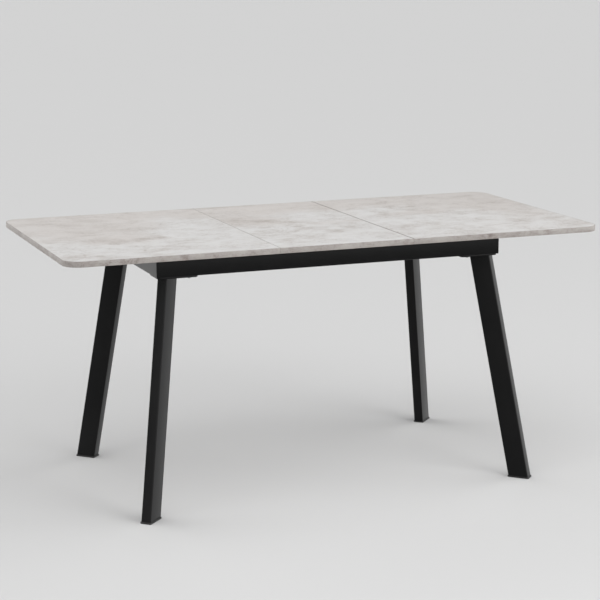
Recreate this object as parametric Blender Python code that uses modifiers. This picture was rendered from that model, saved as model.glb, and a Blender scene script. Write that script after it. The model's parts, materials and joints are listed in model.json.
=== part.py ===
"""Extendable dining table: two half tops on slides, a lift-out leaf, and a synchroniser between the halves.

The table stands on the XY plane with its length along X and the origin midway between the feet.
It is modelled extended, with the leaf in place. A rocker at the middle of the frame and two rods
pull the halves together by equal amounts once the leaf is lifted out.
"""

import math

import bmesh
import bpy
from mathutils import Matrix, Vector

# Driving dimensions, in metres
HEIGHT = 0.750
WIDTH = 0.800
LENGTH_EXTENDED = 1.600
LEAF_LENGTH = 0.400
BOARD = 0.016
CORNER_RADIUS = 0.050
BAND = 0.001

GAP = 0.0003
SEAM = 0.0006
RUNNING_GAP = 0.0004

FRAME_LENGTH = 1.044
FRAME_WIDTH = 0.580
RAIL_WIDTH = 0.025
RAIL_HEIGHT = 0.045
RAIL_BOTTOM = 0.669
RAIL_RADIUS = 0.002
TUBE_WALL = 0.0015

LEG_SECTION = (0.060, 0.030)
LEG_RADIUS = 0.003
LEG_TOP_CENTRE = (0.481, 0.254)
LEG_FOOT_CENTRE = (0.5715, 0.3517)
PLATE_SIZE = (0.116, 0.082)
PLATE_INSET = (0.004, 0.002)
PLATE = 0.004
PLATE_CHAMFER = 0.006
FOOT_LIP = 0.0025
FOOT_HEIGHT = 0.005
FOOT_PLUG = 0.015

BOLT_RADIUS = 0.003
BOLT_HEAD_RADIUS = 0.0055
BOLT_HEAD = 0.0035
BOLT_LENGTH = 0.018
BOLT_FROM_END = 0.097
BOLT_FROM_SIDE = 0.068

CROSS_WIDTH = 0.040
CROSS_HEIGHT = 0.020
CROSS_OFFSET = 0.170
BEARER_WIDTH = 0.025
BEARER_LENGTH = 0.380
BEARER_OFFSET = 0.150

SLIDE_LENGTH = 0.545
SLIDE_OUTER_END = 0.760
FIXED_SLIDE_LENGTH = 1.030
SLIDE_WALL = 0.0025
SLIDE_BASE = 0.010
SLIDE_BASE_THICKNESS = 0.002
SLIDE_WEB = 0.002
SLIDE_HEAD = 0.006
BATTEN_SIZE = (0.040, 0.014)
BATTEN_OFFSET = 0.620
BATTEN_END = 0.013
EASED_EDGE = 0.001

ROCKER_ARM = 0.110
ROCKER_REST = math.radians(4.5)
ROCKER_WIDTH = 0.022
ROD_WIDTH = 0.018
PIN_RADIUS = 0.004
PIN_HEAD = 0.0015
ROCKER_PIN_LIP = 0.0025
BRACKET_PIN_LIP = 0.002
PIVOT_RADIUS = 0.005
PIVOT_FLANGE = 0.004
PIVOT_PLATE_SIZE = (0.060, 0.036)
PIVOT_PLATE_RADIUS = 0.004
PIVOT_PLATE = 0.0022
LINK = 0.004
TONGUE_WIDTH = 0.030
BRACKET_SHEET = 0.003
BRACKET_FLANGE = 0.052
BRACKET_WEB = 0.027
TONGUE_TIP = 0.012

# Heights that follow from the driving dimensions
BOARD_UNDERSIDE = HEIGHT - BOARD
FIXED_TO_BOARD = BOARD_UNDERSIDE - GAP
RAIL_TOP = RAIL_BOTTOM + RAIL_HEIGHT
CROSS_TOP = RAIL_BOTTOM + CROSS_HEIGHT
PLATE_TOP = RAIL_BOTTOM - GAP
PLATE_BOTTOM = PLATE_TOP - PLATE
LEG_TOP = PLATE_BOTTOM - GAP
PIVOT_PLATE_TOP = CROSS_TOP + GAP + PIVOT_PLATE
ROCKER_BOTTOM = 0.6935
ROCKER_TOP = ROCKER_BOTTOM + LINK
ROD_BOTTOM = ROCKER_TOP + RUNNING_GAP
ROD_TOP = ROD_BOTTOM + LINK
TONGUE_BOTTOM = ROD_TOP + 2 * RUNNING_GAP
TONGUE_TOP = TONGUE_BOTTOM + BRACKET_SHEET

# Places that follow from them
HALF_WIDTH = WIDTH / 2
SEAM_LEAF = LEAF_LENGTH / 2 - SEAM / 2
SEAM_HALF = LEAF_LENGTH / 2 + SEAM / 2
RAIL_OFFSET = FRAME_WIDTH / 2 - RAIL_WIDTH / 2
PIN_REACH = 2 * ROCKER_ARM * math.cos(ROCKER_REST)
SIDES = {"left": -1, "right": 1}
EDGES = {"front": -1, "rear": 1}

ARC_STEPS = 4
ROUND_STEPS = 16


def clear_scene():
    """Removes what the startup scene holds."""
    for obj in list(bpy.data.objects):
        bpy.data.objects.remove(obj)


def new_collection(name):
    collection = bpy.data.collections.new(name)
    bpy.context.scene.collection.children.link(collection)
    return collection


def material(name, colour, roughness, metallic=0.0):
    made = bpy.data.materials.new(name)
    made.use_nodes = True
    shader = made.node_tree.nodes["Principled BSDF"]
    shader.inputs["Base Color"].default_value = (*colour, 1.0)
    shader.inputs["Roughness"].default_value = roughness
    shader.inputs["Metallic"].default_value = metallic
    return made


def arc(centre, radius, start, end, steps):
    """Points along an arc, its two ends included. Angles are in radians."""
    return [
        (centre[0] + radius * math.cos(start + (end - start) * i / steps),
         centre[1] + radius * math.sin(start + (end - start) * i / steps))
        for i in range(steps + 1)
    ]


def circle(centre, radius, steps=ROUND_STEPS):
    return arc(centre, radius, 0, math.tau, steps)[:-1]


def rectangle(half_x, half_y):
    return [(-half_x, -half_y), (half_x, -half_y), (half_x, half_y), (-half_x, half_y)]


def rounded_rectangle(size, radius, centre=(0, 0), steps=ARC_STEPS):
    half_x, half_y = size[0] / 2 - radius, size[1] / 2 - radius
    points = []
    for quarter, (sx, sy) in enumerate(((1, 1), (-1, 1), (-1, -1), (1, -1))):
        middle = (centre[0] + sx * half_x, centre[1] + sy * half_y)
        points += arc(middle, radius, quarter * math.pi / 2, (quarter + 1) * math.pi / 2, steps)
    return points


def bar_outline(ends, width, steps=8):
    """A flat bar along X with round ends, from ends[0] to ends[1]."""
    left = arc((ends[0], 0), width / 2, math.pi / 2, 3 * math.pi / 2, steps)
    right = arc((ends[1], 0), width / 2, -math.pi / 2, math.pi / 2, steps)
    return left + right


def add_object(name, mesh, finish, collection, location=(0, 0, 0), turn=0.0):
    obj = bpy.data.objects.new(name, mesh)
    collection.objects.link(obj)
    if not mesh.materials:
        mesh.materials.append(finish)
    obj.location = location
    obj.rotation_euler.z = turn
    return obj


def extruded_mesh(name, outlines, length, along="Z"):
    """A solid from flat outlines, the first outside and the others holes, extruded both ways.

    The outlines lie in XY for an extrusion along Z, in YZ along X and in XZ along Y.
    """
    curve = bpy.data.curves.new(name, "CURVE")
    curve.dimensions = "2D"
    curve.fill_mode = "BOTH"
    curve.extrude = length / 2
    for outline in outlines:
        spline = curve.splines.new("POLY")
        spline.points.add(len(outline) - 1)
        for point, (x, y) in zip(spline.points, outline):
            point.co = (x, y, 0, 1)
        spline.use_cyclic_u = True
    guide = bpy.data.objects.new(name + "_outline", curve)
    bpy.context.scene.collection.objects.link(guide)
    graph = bpy.context.evaluated_depsgraph_get()
    mesh = bpy.data.meshes.new_from_object(guide.evaluated_get(graph))
    bpy.data.objects.remove(guide)
    mesh.name = name
    turns = {
        "Z": Matrix.Identity(4),
        "X": Matrix(((0, 0, 1, 0), (1, 0, 0, 0), (0, 1, 0, 0), (0, 0, 0, 1))),
        "Y": Matrix(((1, 0, 0, 0), (0, 0, -1, 0), (0, 1, 0, 0), (0, 0, 0, 1))),
    }
    shape = bmesh.new()
    shape.from_mesh(mesh)
    shape.transform(turns[along])
    bmesh.ops.remove_doubles(shape, verts=shape.verts, dist=0.00001)
    bmesh.ops.recalc_face_normals(shape, faces=shape.faces)
    shape.to_mesh(mesh)
    shape.free()
    mesh.materials.clear()
    return mesh


def turned_object(name, profile, finish, collection, location):
    """A turned piece from (radius, height) points that run down its outer side."""
    mesh = bpy.data.meshes.new(name)
    shape = bmesh.new()
    points = [shape.verts.new((radius, 0, height)) for radius, height in profile]
    for lower, upper in zip(points, points[1:]):
        shape.edges.new((lower, upper))
    shape.to_mesh(mesh)
    shape.free()
    obj = add_object(name, mesh, finish, collection, location)
    screw = obj.modifiers.new("turn", "SCREW")
    screw.steps = screw.render_steps = ROUND_STEPS
    screw.use_merge_vertices = True
    screw.merge_threshold = 0.00001
    screw.use_smooth_shade = False
    return obj


def block_object(name, size, finish, collection, location):
    """A bar with its edges eased."""
    mesh = bpy.data.meshes.new(name)
    shape = bmesh.new()
    bmesh.ops.create_cube(shape, size=1.0)
    bmesh.ops.scale(shape, vec=size, verts=shape.verts)
    shape.to_mesh(mesh)
    shape.free()
    obj = add_object(name, mesh, finish, collection, location)
    bevel = obj.modifiers.new("eased edges", "BEVEL")
    bevel.width = EASED_EDGE
    bevel.segments = 1
    return obj


def drill(obj, centre, radius, depth, cutters):
    """Cuts an upright round hole through a wall of the object."""
    mesh = bpy.data.meshes.new(obj.name + "_hole")
    shape = bmesh.new()
    bmesh.ops.create_cone(
        shape, cap_ends=True, segments=ROUND_STEPS, radius1=radius, radius2=radius, depth=depth)
    shape.to_mesh(mesh)
    shape.free()
    cutter = bpy.data.objects.new(mesh.name, mesh)
    cutters.objects.link(cutter)
    cutter.location = centre
    cutter.hide_render = True
    cutter.display_type = "WIRE"
    cut = obj.modifiers.new("hole", "BOOLEAN")
    cut.operation = "DIFFERENCE"
    cut.object = cutter


def tube_outlines(width, height, radius):
    inside = (width - 2 * TUBE_WALL, height - 2 * TUBE_WALL)
    return [
        rounded_rectangle((width, height), radius),
        rounded_rectangle(inside, radius - TUBE_WALL / 2, steps=1),
    ]


def mitred_tube_mesh(name, length):
    """A frame tube along X with its outer face at -Y, and its ends cut at 45 degrees."""
    mesh = extruded_mesh(name, tube_outlines(RAIL_WIDTH, RAIL_HEIGHT, RAIL_RADIUS), length, "X")
    for vertex in mesh.vertices:
        inward = vertex.co.y + RAIL_WIDTH / 2
        reach = length / 2 - inward - GAP / math.sqrt(2)
        vertex.co.x = math.copysign(reach, vertex.co.x)
    return mesh


def plate_bolt_places():
    """Where a corner plate's two bolts go: one under the long rail, one under the end rail."""
    long_rail = (FRAME_LENGTH / 2 - BOLT_FROM_END, RAIL_OFFSET)
    end_rail = (FRAME_LENGTH / 2 - RAIL_WIDTH / 2, FRAME_WIDTH / 2 - BOLT_FROM_SIDE)
    return {"long": long_rail, "end": end_rail}


def make_frame_rails(finish, parts, cutters):
    """The four mitred tubes of the frame, drilled underneath for the corner plates' bolts."""
    middle = RAIL_BOTTOM + RAIL_HEIGHT / 2
    long_mesh = mitred_tube_mesh("long_rail", FRAME_LENGTH)
    end_mesh = mitred_tube_mesh("end_rail", FRAME_WIDTH)
    end_offset = FRAME_LENGTH / 2 - RAIL_WIDTH / 2
    places = plate_bolt_places()
    for edge, sy in EDGES.items():
        turn = 0 if sy < 0 else math.pi
        rail = add_object(f"{edge}_rail", long_mesh, finish, parts, (0, sy * RAIL_OFFSET, middle), turn)
        for sx in SIDES.values():
            x, y = places["long"]
            drill(rail, (sx * x, sy * y, RAIL_BOTTOM), BOLT_RADIUS + GAP, 4 * TUBE_WALL, cutters)
    for side, sx in SIDES.items():
        rail = add_object(
            f"{side}_end_rail", end_mesh, finish, parts, (sx * end_offset, 0, middle), sx * math.pi / 2)
        for sy in EDGES.values():
            x, y = places["end"]
            drill(rail, (sx * x, sy * y, RAIL_BOTTOM), BOLT_RADIUS + GAP, 4 * TUBE_WALL, cutters)


def make_cross_members(finish, parts):
    """Three tubes across the frame: two under the leaf bearers and one under the rocker."""
    length = FRAME_WIDTH - 2 * RAIL_WIDTH - 2 * GAP
    outlines = tube_outlines(CROSS_WIDTH, CROSS_HEIGHT, RAIL_RADIUS)
    mesh = extruded_mesh("cross_member", outlines, length, "Y")
    for name, sx in {"left": -1, "centre": 0, "right": 1}.items():
        place = (sx * CROSS_OFFSET, 0, RAIL_BOTTOM + CROSS_HEIGHT / 2)
        add_object(f"{name}_cross_member", mesh, finish, parts, place)


def make_leaf_bearers(finish, parts):
    """Two wooden bars on the cross members, just under the leaf."""
    low = CROSS_TOP + GAP
    size = (BEARER_LENGTH, BEARER_WIDTH, FIXED_TO_BOARD - low)
    for edge, sy in EDGES.items():
        place = (0, sy * BEARER_OFFSET, low + size[2] / 2)
        block_object(f"{edge}_leaf_bearer", size, finish, parts, place)


def chamfered_rectangle(low, high, chamfer):
    """A rectangle whose corners are cut off."""
    (x0, y0), (x1, y1), c = low, high, chamfer
    return [(x0 + c, y0), (x1 - c, y0), (x1, y0 + c), (x1, y1 - c),
            (x1 - c, y1), (x0 + c, y1), (x0, y1 - c), (x0, y0 + c)]


def corner_mirror(obj, sx, sy):
    """Turns the piece made for the +X +Y corner into the one for another corner."""
    obj.scale = (sx, sy, 1)


def make_leg_plates(finish, parts):
    """A steel plate under each corner of the frame, which the leg is welded to."""
    high = Vector((FRAME_LENGTH, FRAME_WIDTH)) / 2 - Vector(PLATE_INSET)
    low = high - Vector(PLATE_SIZE)
    holes = [circle(place, BOLT_RADIUS + GAP) for place in plate_bolt_places().values()]
    outline = chamfered_rectangle(low, high, PLATE_CHAMFER)
    mesh = extruded_mesh("leg_plate", [outline, *holes], PLATE)
    for edge, sy in EDGES.items():
        for side, sx in SIDES.items():
            name = f"{edge}_{side}_leg_plate"
            plate = add_object(name, mesh, finish, parts, (0, 0, PLATE_TOP - PLATE / 2))
            corner_mirror(plate, sx, sy)


def leg_lean():
    """How far the leg's axis moves along X and Y for each metre upward, at the +X +Y corner."""
    drop = LEG_TOP
    return [(top - foot) / drop for top, foot in zip(LEG_TOP_CENTRE, LEG_FOOT_CENTRE)]


def lean_mesh(mesh, base_height):
    """Turns an upright piece's long side to the diagonal and leans it along the leg's axis."""
    slope = leg_lean()
    turn = Matrix.Rotation(math.pi / 4, 4, "Z")
    for vertex in mesh.vertices:
        place = turn @ vertex.co
        height = place.z + base_height
        vertex.co = (
            place.x + LEG_FOOT_CENTRE[0] + slope[0] * height,
            place.y + LEG_FOOT_CENTRE[1] + slope[1] * height,
            height,
        )


def level_section(grow=0.0):
    """The leg's section as a level cut shows it: the lean stretches its long side."""
    lean = math.atan(math.hypot(*leg_lean()))
    return LEG_SECTION[0] / math.cos(lean) + 2 * grow, LEG_SECTION[1] + 2 * grow


def make_legs(finish, parts):
    """Four rectangular tubes, leaning outward along the diagonals, with level-cut ends."""
    height = LEG_TOP - FOOT_HEIGHT
    outlines = [
        rounded_rectangle(level_section(), LEG_RADIUS),
        rounded_rectangle(level_section(-TUBE_WALL), LEG_RADIUS - TUBE_WALL),
    ]
    mesh = extruded_mesh("leg", outlines, height)
    lean_mesh(mesh, FOOT_HEIGHT + height / 2)
    for edge, sy in EDGES.items():
        for side, sx in SIDES.items():
            leg = add_object(f"{edge}_{side}_leg", mesh, finish, parts)
            corner_mirror(leg, sx, sy)


def make_foot_caps(finish, parts):
    """A plastic cap under each leg, with a plug that fills the tube's end."""
    mesh = bpy.data.meshes.new("foot_cap")
    shape = bmesh.new()
    outline = rounded_rectangle(level_section(FOOT_LIP), LEG_RADIUS + FOOT_LIP)
    bottom = shape.faces.new([shape.verts.new((x, y, 0)) for x, y in outline])

    def raise_top(face, height):
        grown = bmesh.ops.extrude_face_region(shape, geom=[face])["geom"]
        corners = [item for item in grown if isinstance(item, bmesh.types.BMVert)]
        bmesh.ops.translate(shape, vec=(0, 0, height), verts=corners)
        return next(item for item in grown if isinstance(item, bmesh.types.BMFace))

    top = raise_top(bottom, FOOT_HEIGHT - GAP)
    bmesh.ops.inset_region(
        shape, faces=[top], thickness=FOOT_LIP + TUBE_WALL + GAP, use_even_offset=True)
    raise_top(top, FOOT_PLUG)
    inside = [face for face in shape.faces if all(len(edge.link_faces) > 2 for edge in face.edges)]
    bmesh.ops.delete(shape, geom=inside, context="FACES_ONLY")
    bmesh.ops.recalc_face_normals(shape, faces=shape.faces)
    shape.to_mesh(mesh)
    shape.free()
    lean_mesh(mesh, 0)
    for edge, sy in EDGES.items():
        for side, sx in SIDES.items():
            cap = add_object(f"{edge}_{side}_foot_cap", mesh, finish, parts)
            corner_mirror(cap, sx, sy)


def make_leg_bolts(finish, parts):
    """Two button-head bolts a corner, up through the plate into the frame's tubes."""
    profile = [
        (0, BOLT_LENGTH),
        (BOLT_RADIUS, BOLT_LENGTH),
        (BOLT_RADIUS, 0),
        (BOLT_HEAD_RADIUS, 0),
        (BOLT_HEAD_RADIUS, -BOLT_HEAD / 2),
        (BOLT_HEAD_RADIUS * 0.7, -BOLT_HEAD),
        (0, -BOLT_HEAD),
    ]
    for edge, sy in EDGES.items():
        for side, sx in SIDES.items():
            for rail, (x, y) in plate_bolt_places().items():
                name = f"{edge}_{side}_{rail}_rail_bolt"
                turned_object(name, profile, finish, parts, (sx * x, sy * y, PLATE_BOTTOM - GAP))


def slide_profiles():
    """(fixed, moving) outlines in YZ of a slide: a headed bar, and the channel that grips it."""
    foot = RAIL_TOP + GAP
    base_top = foot + SLIDE_BASE_THICKNESS
    lip_low = base_top + RUNNING_GAP
    lip_high = lip_low + SLIDE_WALL
    head_low = lip_high + RUNNING_GAP
    roof = FIXED_TO_BOARD - SLIDE_WALL
    head_top = roof - RUNNING_GAP
    half = [
        (SLIDE_BASE, foot), (SLIDE_BASE, base_top), (SLIDE_WEB, base_top),
        (SLIDE_WEB, head_low), (SLIDE_HEAD, head_low), (SLIDE_HEAD, head_top),
    ]
    fixed = half + [(-y, z) for y, z in reversed(half)]
    inside = SLIDE_HEAD + RUNNING_GAP
    outside = inside + SLIDE_WALL
    lip = SLIDE_WEB + RUNNING_GAP
    half = [
        (outside, FIXED_TO_BOARD), (outside, lip_low), (lip, lip_low),
        (lip, lip_high), (inside, lip_high), (inside, roof),
    ]
    moving = half + [(-y, z) for y, z in reversed(half)]
    return fixed, moving


def make_slides(fixed_finish, moving_finish, parts, carriers):
    """A headed bar along the top of each long rail, and a channel on it under each half top."""
    fixed, moving = slide_profiles()
    fixed_mesh = extruded_mesh("fixed_slide", [fixed], FIXED_SLIDE_LENGTH, "X")
    moving_mesh = extruded_mesh("moving_slide", [moving], SLIDE_LENGTH, "X")
    middle = SLIDE_OUTER_END - SLIDE_LENGTH / 2
    for edge, sy in EDGES.items():
        add_object(f"{edge}_fixed_slide", fixed_mesh, fixed_finish, parts, (0, sy * RAIL_OFFSET, 0))
        for side, sx in SIDES.items():
            place = (sx * middle, sy * RAIL_OFFSET, 0)
            slide = add_object(f"{side}_{edge}_slide", moving_mesh, moving_finish, parts, place)
            attach(slide, carriers[f"{side}_half"])


def half_top_outline(inset=0.0):
    """The outline of the right half top, from its front inner corner to its rear one."""
    outer, side = LENGTH_EXTENDED / 2 - inset, HALF_WIDTH - inset
    radius = CORNER_RADIUS - inset
    front = arc((outer - radius, -side + radius), radius, -math.pi / 2, 0, 2 * ARC_STEPS)
    rear = arc((outer - radius, side - radius), radius, 0, math.pi / 2, 2 * ARC_STEPS)
    return [(SEAM_HALF, -side), *front, *rear, (SEAM_HALF, side)]


def make_half_tops(board_finish, band_finish, parts, carriers):
    """The two half tops: a board with a thin band round its three outer edges."""
    middle = (0, 0, HEIGHT - BOARD / 2)
    board_mesh = extruded_mesh("half_board", [half_top_outline(BAND + GAP)], BOARD)
    band_outline = half_top_outline() + list(reversed(half_top_outline(BAND)))
    band_mesh = extruded_mesh("half_edge_band", [band_outline], BOARD)
    for side, sx in SIDES.items():
        turn = 0 if sx > 0 else math.pi
        board = add_object(f"{side}_half_board", board_mesh, board_finish, parts, middle, turn)
        band = add_object(f"{side}_half_edge_band", band_mesh, band_finish, parts, middle, turn)
        attach(board, carriers[f"{side}_half"])
        attach(band, carriers[f"{side}_half"])


def make_half_battens(finish, parts, carriers):
    """A wooden batten under each half top, between its two slides."""
    span = 2 * (RAIL_OFFSET - BATTEN_END)
    size = (BATTEN_SIZE[0], span, BATTEN_SIZE[1])
    for side, sx in SIDES.items():
        place = (sx * BATTEN_OFFSET, 0, FIXED_TO_BOARD - BATTEN_SIZE[1] / 2)
        batten = block_object(f"{side}_half_batten", size, finish, parts, place)
        attach(batten, carriers[f"{side}_half"])


def make_leaf(board_finish, band_finish, parts, carriers):
    """The leaf between the halves, with a band on its two open edges."""
    depth = HALF_WIDTH - BAND - GAP
    middle = HEIGHT - BOARD / 2
    board_mesh = extruded_mesh("leaf_board", [rectangle(SEAM_LEAF, depth)], BOARD)
    board = add_object("leaf_board", board_mesh, board_finish, parts, (0, 0, middle))
    attach(board, carriers["leaf"])
    band_mesh = extruded_mesh("leaf_edge_band", [rectangle(SEAM_LEAF, BAND / 2)], BOARD)
    for edge, sy in EDGES.items():
        place = (0, sy * (HALF_WIDTH - BAND / 2), middle)
        band = add_object(f"leaf_{edge}_edge_band", band_mesh, band_finish, parts, place)
        attach(band, carriers["leaf"])


def arm_end(sx):
    """The rocker's end on one side, where the rod's joint is."""
    reach = sx * ROCKER_ARM
    return Vector((reach * math.cos(ROCKER_REST), -reach * math.sin(ROCKER_REST), 0))


def make_rocker(link_finish, pin_finish, parts, carriers):
    """The rocker on its pivot at the middle of the frame, with a pin at each end."""
    plate = rounded_rectangle(PIVOT_PLATE_SIZE, PIVOT_PLATE_RADIUS)
    plate_mesh = extruded_mesh("pivot_plate", [plate, circle((0, 0), PIN_RADIUS + GAP)], PIVOT_PLATE)
    add_object("pivot_plate", plate_mesh, link_finish, parts, (0, 0, PIVOT_PLATE_TOP - PIVOT_PLATE / 2))
    flange_top = ROCKER_BOTTOM - RUNNING_GAP
    pivot = [
        (0, ROCKER_TOP),
        (PIVOT_RADIUS, ROCKER_TOP),
        (PIVOT_RADIUS, flange_top),
        (PIVOT_RADIUS + PIVOT_FLANGE, flange_top),
        (PIVOT_RADIUS + PIVOT_FLANGE, PIVOT_PLATE_TOP + GAP),
        (PIN_RADIUS, PIVOT_PLATE_TOP + GAP),
        (PIN_RADIUS, PIVOT_PLATE_TOP - PIVOT_PLATE + GAP),
        (0, PIVOT_PLATE_TOP - PIVOT_PLATE + GAP),
    ]
    turned_object("rocker_pivot_pin", pivot, pin_finish, parts, (0, 0, 0))
    outlines = [bar_outline((-ROCKER_ARM, ROCKER_ARM), ROCKER_WIDTH), circle((0, 0), PIVOT_RADIUS + GAP)]
    outlines += [circle((sx * ROCKER_ARM, 0), PIN_RADIUS + GAP) for sx in SIDES.values()]
    mesh = extruded_mesh("rocker", outlines, LINK)
    place = (0, 0, ROCKER_BOTTOM + LINK / 2)
    rocker = add_object("rocker", mesh, link_finish, parts, place, -ROCKER_REST)
    attach(rocker, carriers["rocker"])
    head_top = ROCKER_BOTTOM - GAP
    rod_pin = [
        (0, ROD_TOP + RUNNING_GAP),
        (PIN_RADIUS, ROD_TOP + RUNNING_GAP),
        (PIN_RADIUS, head_top),
        (PIN_RADIUS + ROCKER_PIN_LIP, head_top),
        (PIN_RADIUS + ROCKER_PIN_LIP, head_top - PIN_HEAD),
        (0, head_top - PIN_HEAD),
    ]
    for side, sx in SIDES.items():
        pin = turned_object(f"{side}_rocker_pin", rod_pin, pin_finish, parts, arm_end(sx))
        attach(pin, carriers["rocker"])


def make_rods(link_finish, parts, carriers):
    """The two rods from the rocker's ends to the brackets under the half tops."""
    holes = [circle((x, 0), PIN_RADIUS + GAP) for x in (0, ROCKER_ARM)]
    mesh = extruded_mesh("rod", [bar_outline((0, ROCKER_ARM), ROD_WIDTH), *holes], LINK)
    for side, sx in SIDES.items():
        turn = ROCKER_REST if sx > 0 else math.pi + ROCKER_REST
        place = arm_end(sx) + Vector((0, 0, ROD_BOTTOM + LINK / 2))
        rod = add_object(f"{side}_rod", mesh, link_finish, parts, place, turn)
        attach(rod, carriers[f"{side}_rod"])


def bracket_profile():
    """The bent bracket in XZ, for the right half: a flange outboard, a web and a tongue inboard."""
    tip = PIN_REACH - TONGUE_TIP
    web = PIN_REACH + BRACKET_WEB
    sheet, top = BRACKET_SHEET, FIXED_TO_BOARD
    return [
        (tip, TONGUE_BOTTOM), (web + sheet, TONGUE_BOTTOM), (web + sheet, top - sheet),
        (web + BRACKET_FLANGE, top - sheet), (web + BRACKET_FLANGE, top), (web, top),
        (web, TONGUE_TOP), (tip, TONGUE_TOP),
    ]


def make_brackets(bracket_finish, pin_finish, parts, cutters, carriers):
    """The bracket under each half top that the rod pulls on, and its pin."""
    mesh = extruded_mesh("half_bracket", [bracket_profile()], TONGUE_WIDTH, "Y")
    head_bottom = TONGUE_TOP + GAP
    profile = [
        (0, head_bottom + PIN_HEAD),
        (PIN_RADIUS + BRACKET_PIN_LIP, head_bottom + PIN_HEAD),
        (PIN_RADIUS + BRACKET_PIN_LIP, head_bottom),
        (PIN_RADIUS, head_bottom),
        (PIN_RADIUS, ROD_BOTTOM),
        (0, ROD_BOTTOM),
    ]
    for side, sx in SIDES.items():
        turn = 0 if sx > 0 else math.pi
        bracket = add_object(f"{side}_half_bracket", mesh, bracket_finish, parts, turn=turn)
        centre = (sx * PIN_REACH, 0, TONGUE_BOTTOM + BRACKET_SHEET / 2)
        attach(bracket, carriers[f"{side}_half"])
        drill(bracket, centre, PIN_RADIUS + GAP, 3 * BRACKET_SHEET, cutters)
        pin = turned_object(f"{side}_bracket_pin", profile, pin_finish, parts, (sx * PIN_REACH, 0, 0))
        attach(pin, carriers[f"{side}_half"])


def make_carriers(parts):
    """An empty on each joint's axis. The pieces that move with the joint hang on it."""
    places = {"rocker": Vector((0, 0, ROCKER_BOTTOM)), "leaf": Vector((0, 0, BOARD_UNDERSIDE))}
    for side, sx in SIDES.items():
        places[f"{side}_rod"] = arm_end(sx) + Vector((0, 0, ROD_BOTTOM))
        places[f"{side}_half"] = Vector((sx * PIN_REACH, 0, TONGUE_BOTTOM))
    carriers = {}
    for name, place in places.items():
        empty = bpy.data.objects.new(f"{name}_axis", None)
        parts.objects.link(empty)
        empty.location = place
        carriers[name] = empty
    bpy.context.view_layer.update()
    return carriers


def attach(obj, carrier):
    obj.parent = carrier
    obj.matrix_parent_inverse = carrier.matrix_world.inverted()


def shade_round_pieces(parts):
    for obj in parts.objects:
        if obj.type == "MESH" and obj.modifiers.get("turn"):
            obj.modifiers["turn"].use_smooth_shade = True
        if obj.type == "MESH" and len(obj.data.polygons):
            obj.data.shade_smooth()
            obj.data.set_sharp_from_angle(angle=math.radians(30))


def build_table():
    clear_scene()
    parts = new_collection("extendable_dining_table")
    cutters = new_collection("cutters")
    laminate = material("stone_look_laminate", (0.62, 0.59, 0.55), 0.45)
    band = material("taupe_edge_band", (0.33, 0.29, 0.25), 0.50)
    coat = material("black_powder_coat", (0.018, 0.018, 0.018), 0.45)
    plastic = material("black_plastic", (0.012, 0.012, 0.012), 0.55)
    zinc = material("zinc_plated_steel", (0.50, 0.50, 0.48), 0.35, 1.0)
    anodised = material("anodised_aluminium", (0.60, 0.60, 0.60), 0.35, 1.0)
    beech = material("beech", (0.58, 0.40, 0.24), 0.60)

    carriers = make_carriers(parts)
    make_frame_rails(coat, parts, cutters)
    make_cross_members(coat, parts)
    make_leaf_bearers(beech, parts)
    make_leg_plates(coat, parts)
    make_legs(coat, parts)
    make_foot_caps(plastic, parts)
    make_leg_bolts(zinc, parts)
    make_slides(anodised, anodised, parts, carriers)
    make_half_tops(laminate, band, parts, carriers)
    make_half_battens(beech, parts, carriers)
    make_leaf(laminate, band, parts, carriers)
    make_rocker(zinc, zinc, parts, carriers)
    make_rods(zinc, parts, carriers)
    make_brackets(zinc, zinc, parts, cutters, carriers)
    shade_round_pieces(parts)


build_table()
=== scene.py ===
"""Finished look of an extendable dining table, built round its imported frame.

Every sub-assembly of the table is a class. It takes its places from the frame's nodes, shapes its
pieces with bmesh operators and dresses them in procedural finishes. The studio comes last.
"""

from __future__ import annotations

import json
import logging
import math
from collections.abc import Callable, Iterable, Sequence
from dataclasses import dataclass
from enum import Enum

import bmesh
import bpy
from mathutils import Matrix, Vector, noise


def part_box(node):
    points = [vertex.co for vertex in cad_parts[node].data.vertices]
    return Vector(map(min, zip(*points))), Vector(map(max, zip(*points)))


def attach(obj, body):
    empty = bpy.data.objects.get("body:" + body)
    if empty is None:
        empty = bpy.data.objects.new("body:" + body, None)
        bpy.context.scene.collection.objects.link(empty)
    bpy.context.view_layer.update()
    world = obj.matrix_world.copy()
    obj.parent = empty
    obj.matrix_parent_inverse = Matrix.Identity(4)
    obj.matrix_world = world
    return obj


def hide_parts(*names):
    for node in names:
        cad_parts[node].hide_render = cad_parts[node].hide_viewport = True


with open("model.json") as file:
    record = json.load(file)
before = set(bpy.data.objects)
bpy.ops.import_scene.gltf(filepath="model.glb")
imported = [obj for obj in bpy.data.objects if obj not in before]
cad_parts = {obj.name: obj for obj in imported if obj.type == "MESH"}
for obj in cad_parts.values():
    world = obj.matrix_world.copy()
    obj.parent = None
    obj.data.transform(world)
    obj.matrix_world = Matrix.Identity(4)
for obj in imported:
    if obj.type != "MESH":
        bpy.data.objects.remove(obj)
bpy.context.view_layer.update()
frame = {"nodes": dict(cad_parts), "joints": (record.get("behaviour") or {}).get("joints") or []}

LOG = logging.getLogger("dining_table")
TAU = math.tau
UP = Vector((0.0, 0.0, 1.0))
ORIGIN = Vector((0.0, 0.0, 0.0))
NEAR = 1e-5  # closer than this, in metres, counts as the same place
SHARP_FROM = 35.0  # an edge that turns more, in degrees, is shaded sharp

Pair = tuple[float, float]
Triple = tuple[float, float, float]
Colour = tuple[float, float, float]
MeshEdge, MeshFace, MeshVert = bmesh.types.BMEdge, bmesh.types.BMFace, bmesh.types.BMVert
Material, Node = bpy.types.Material, bpy.types.Node
NodeTree, Socket = bpy.types.NodeTree, bpy.types.NodeSocket
Test = Callable[[Vector], bool]
FaceTest = Callable[[MeshFace], bool]


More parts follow.
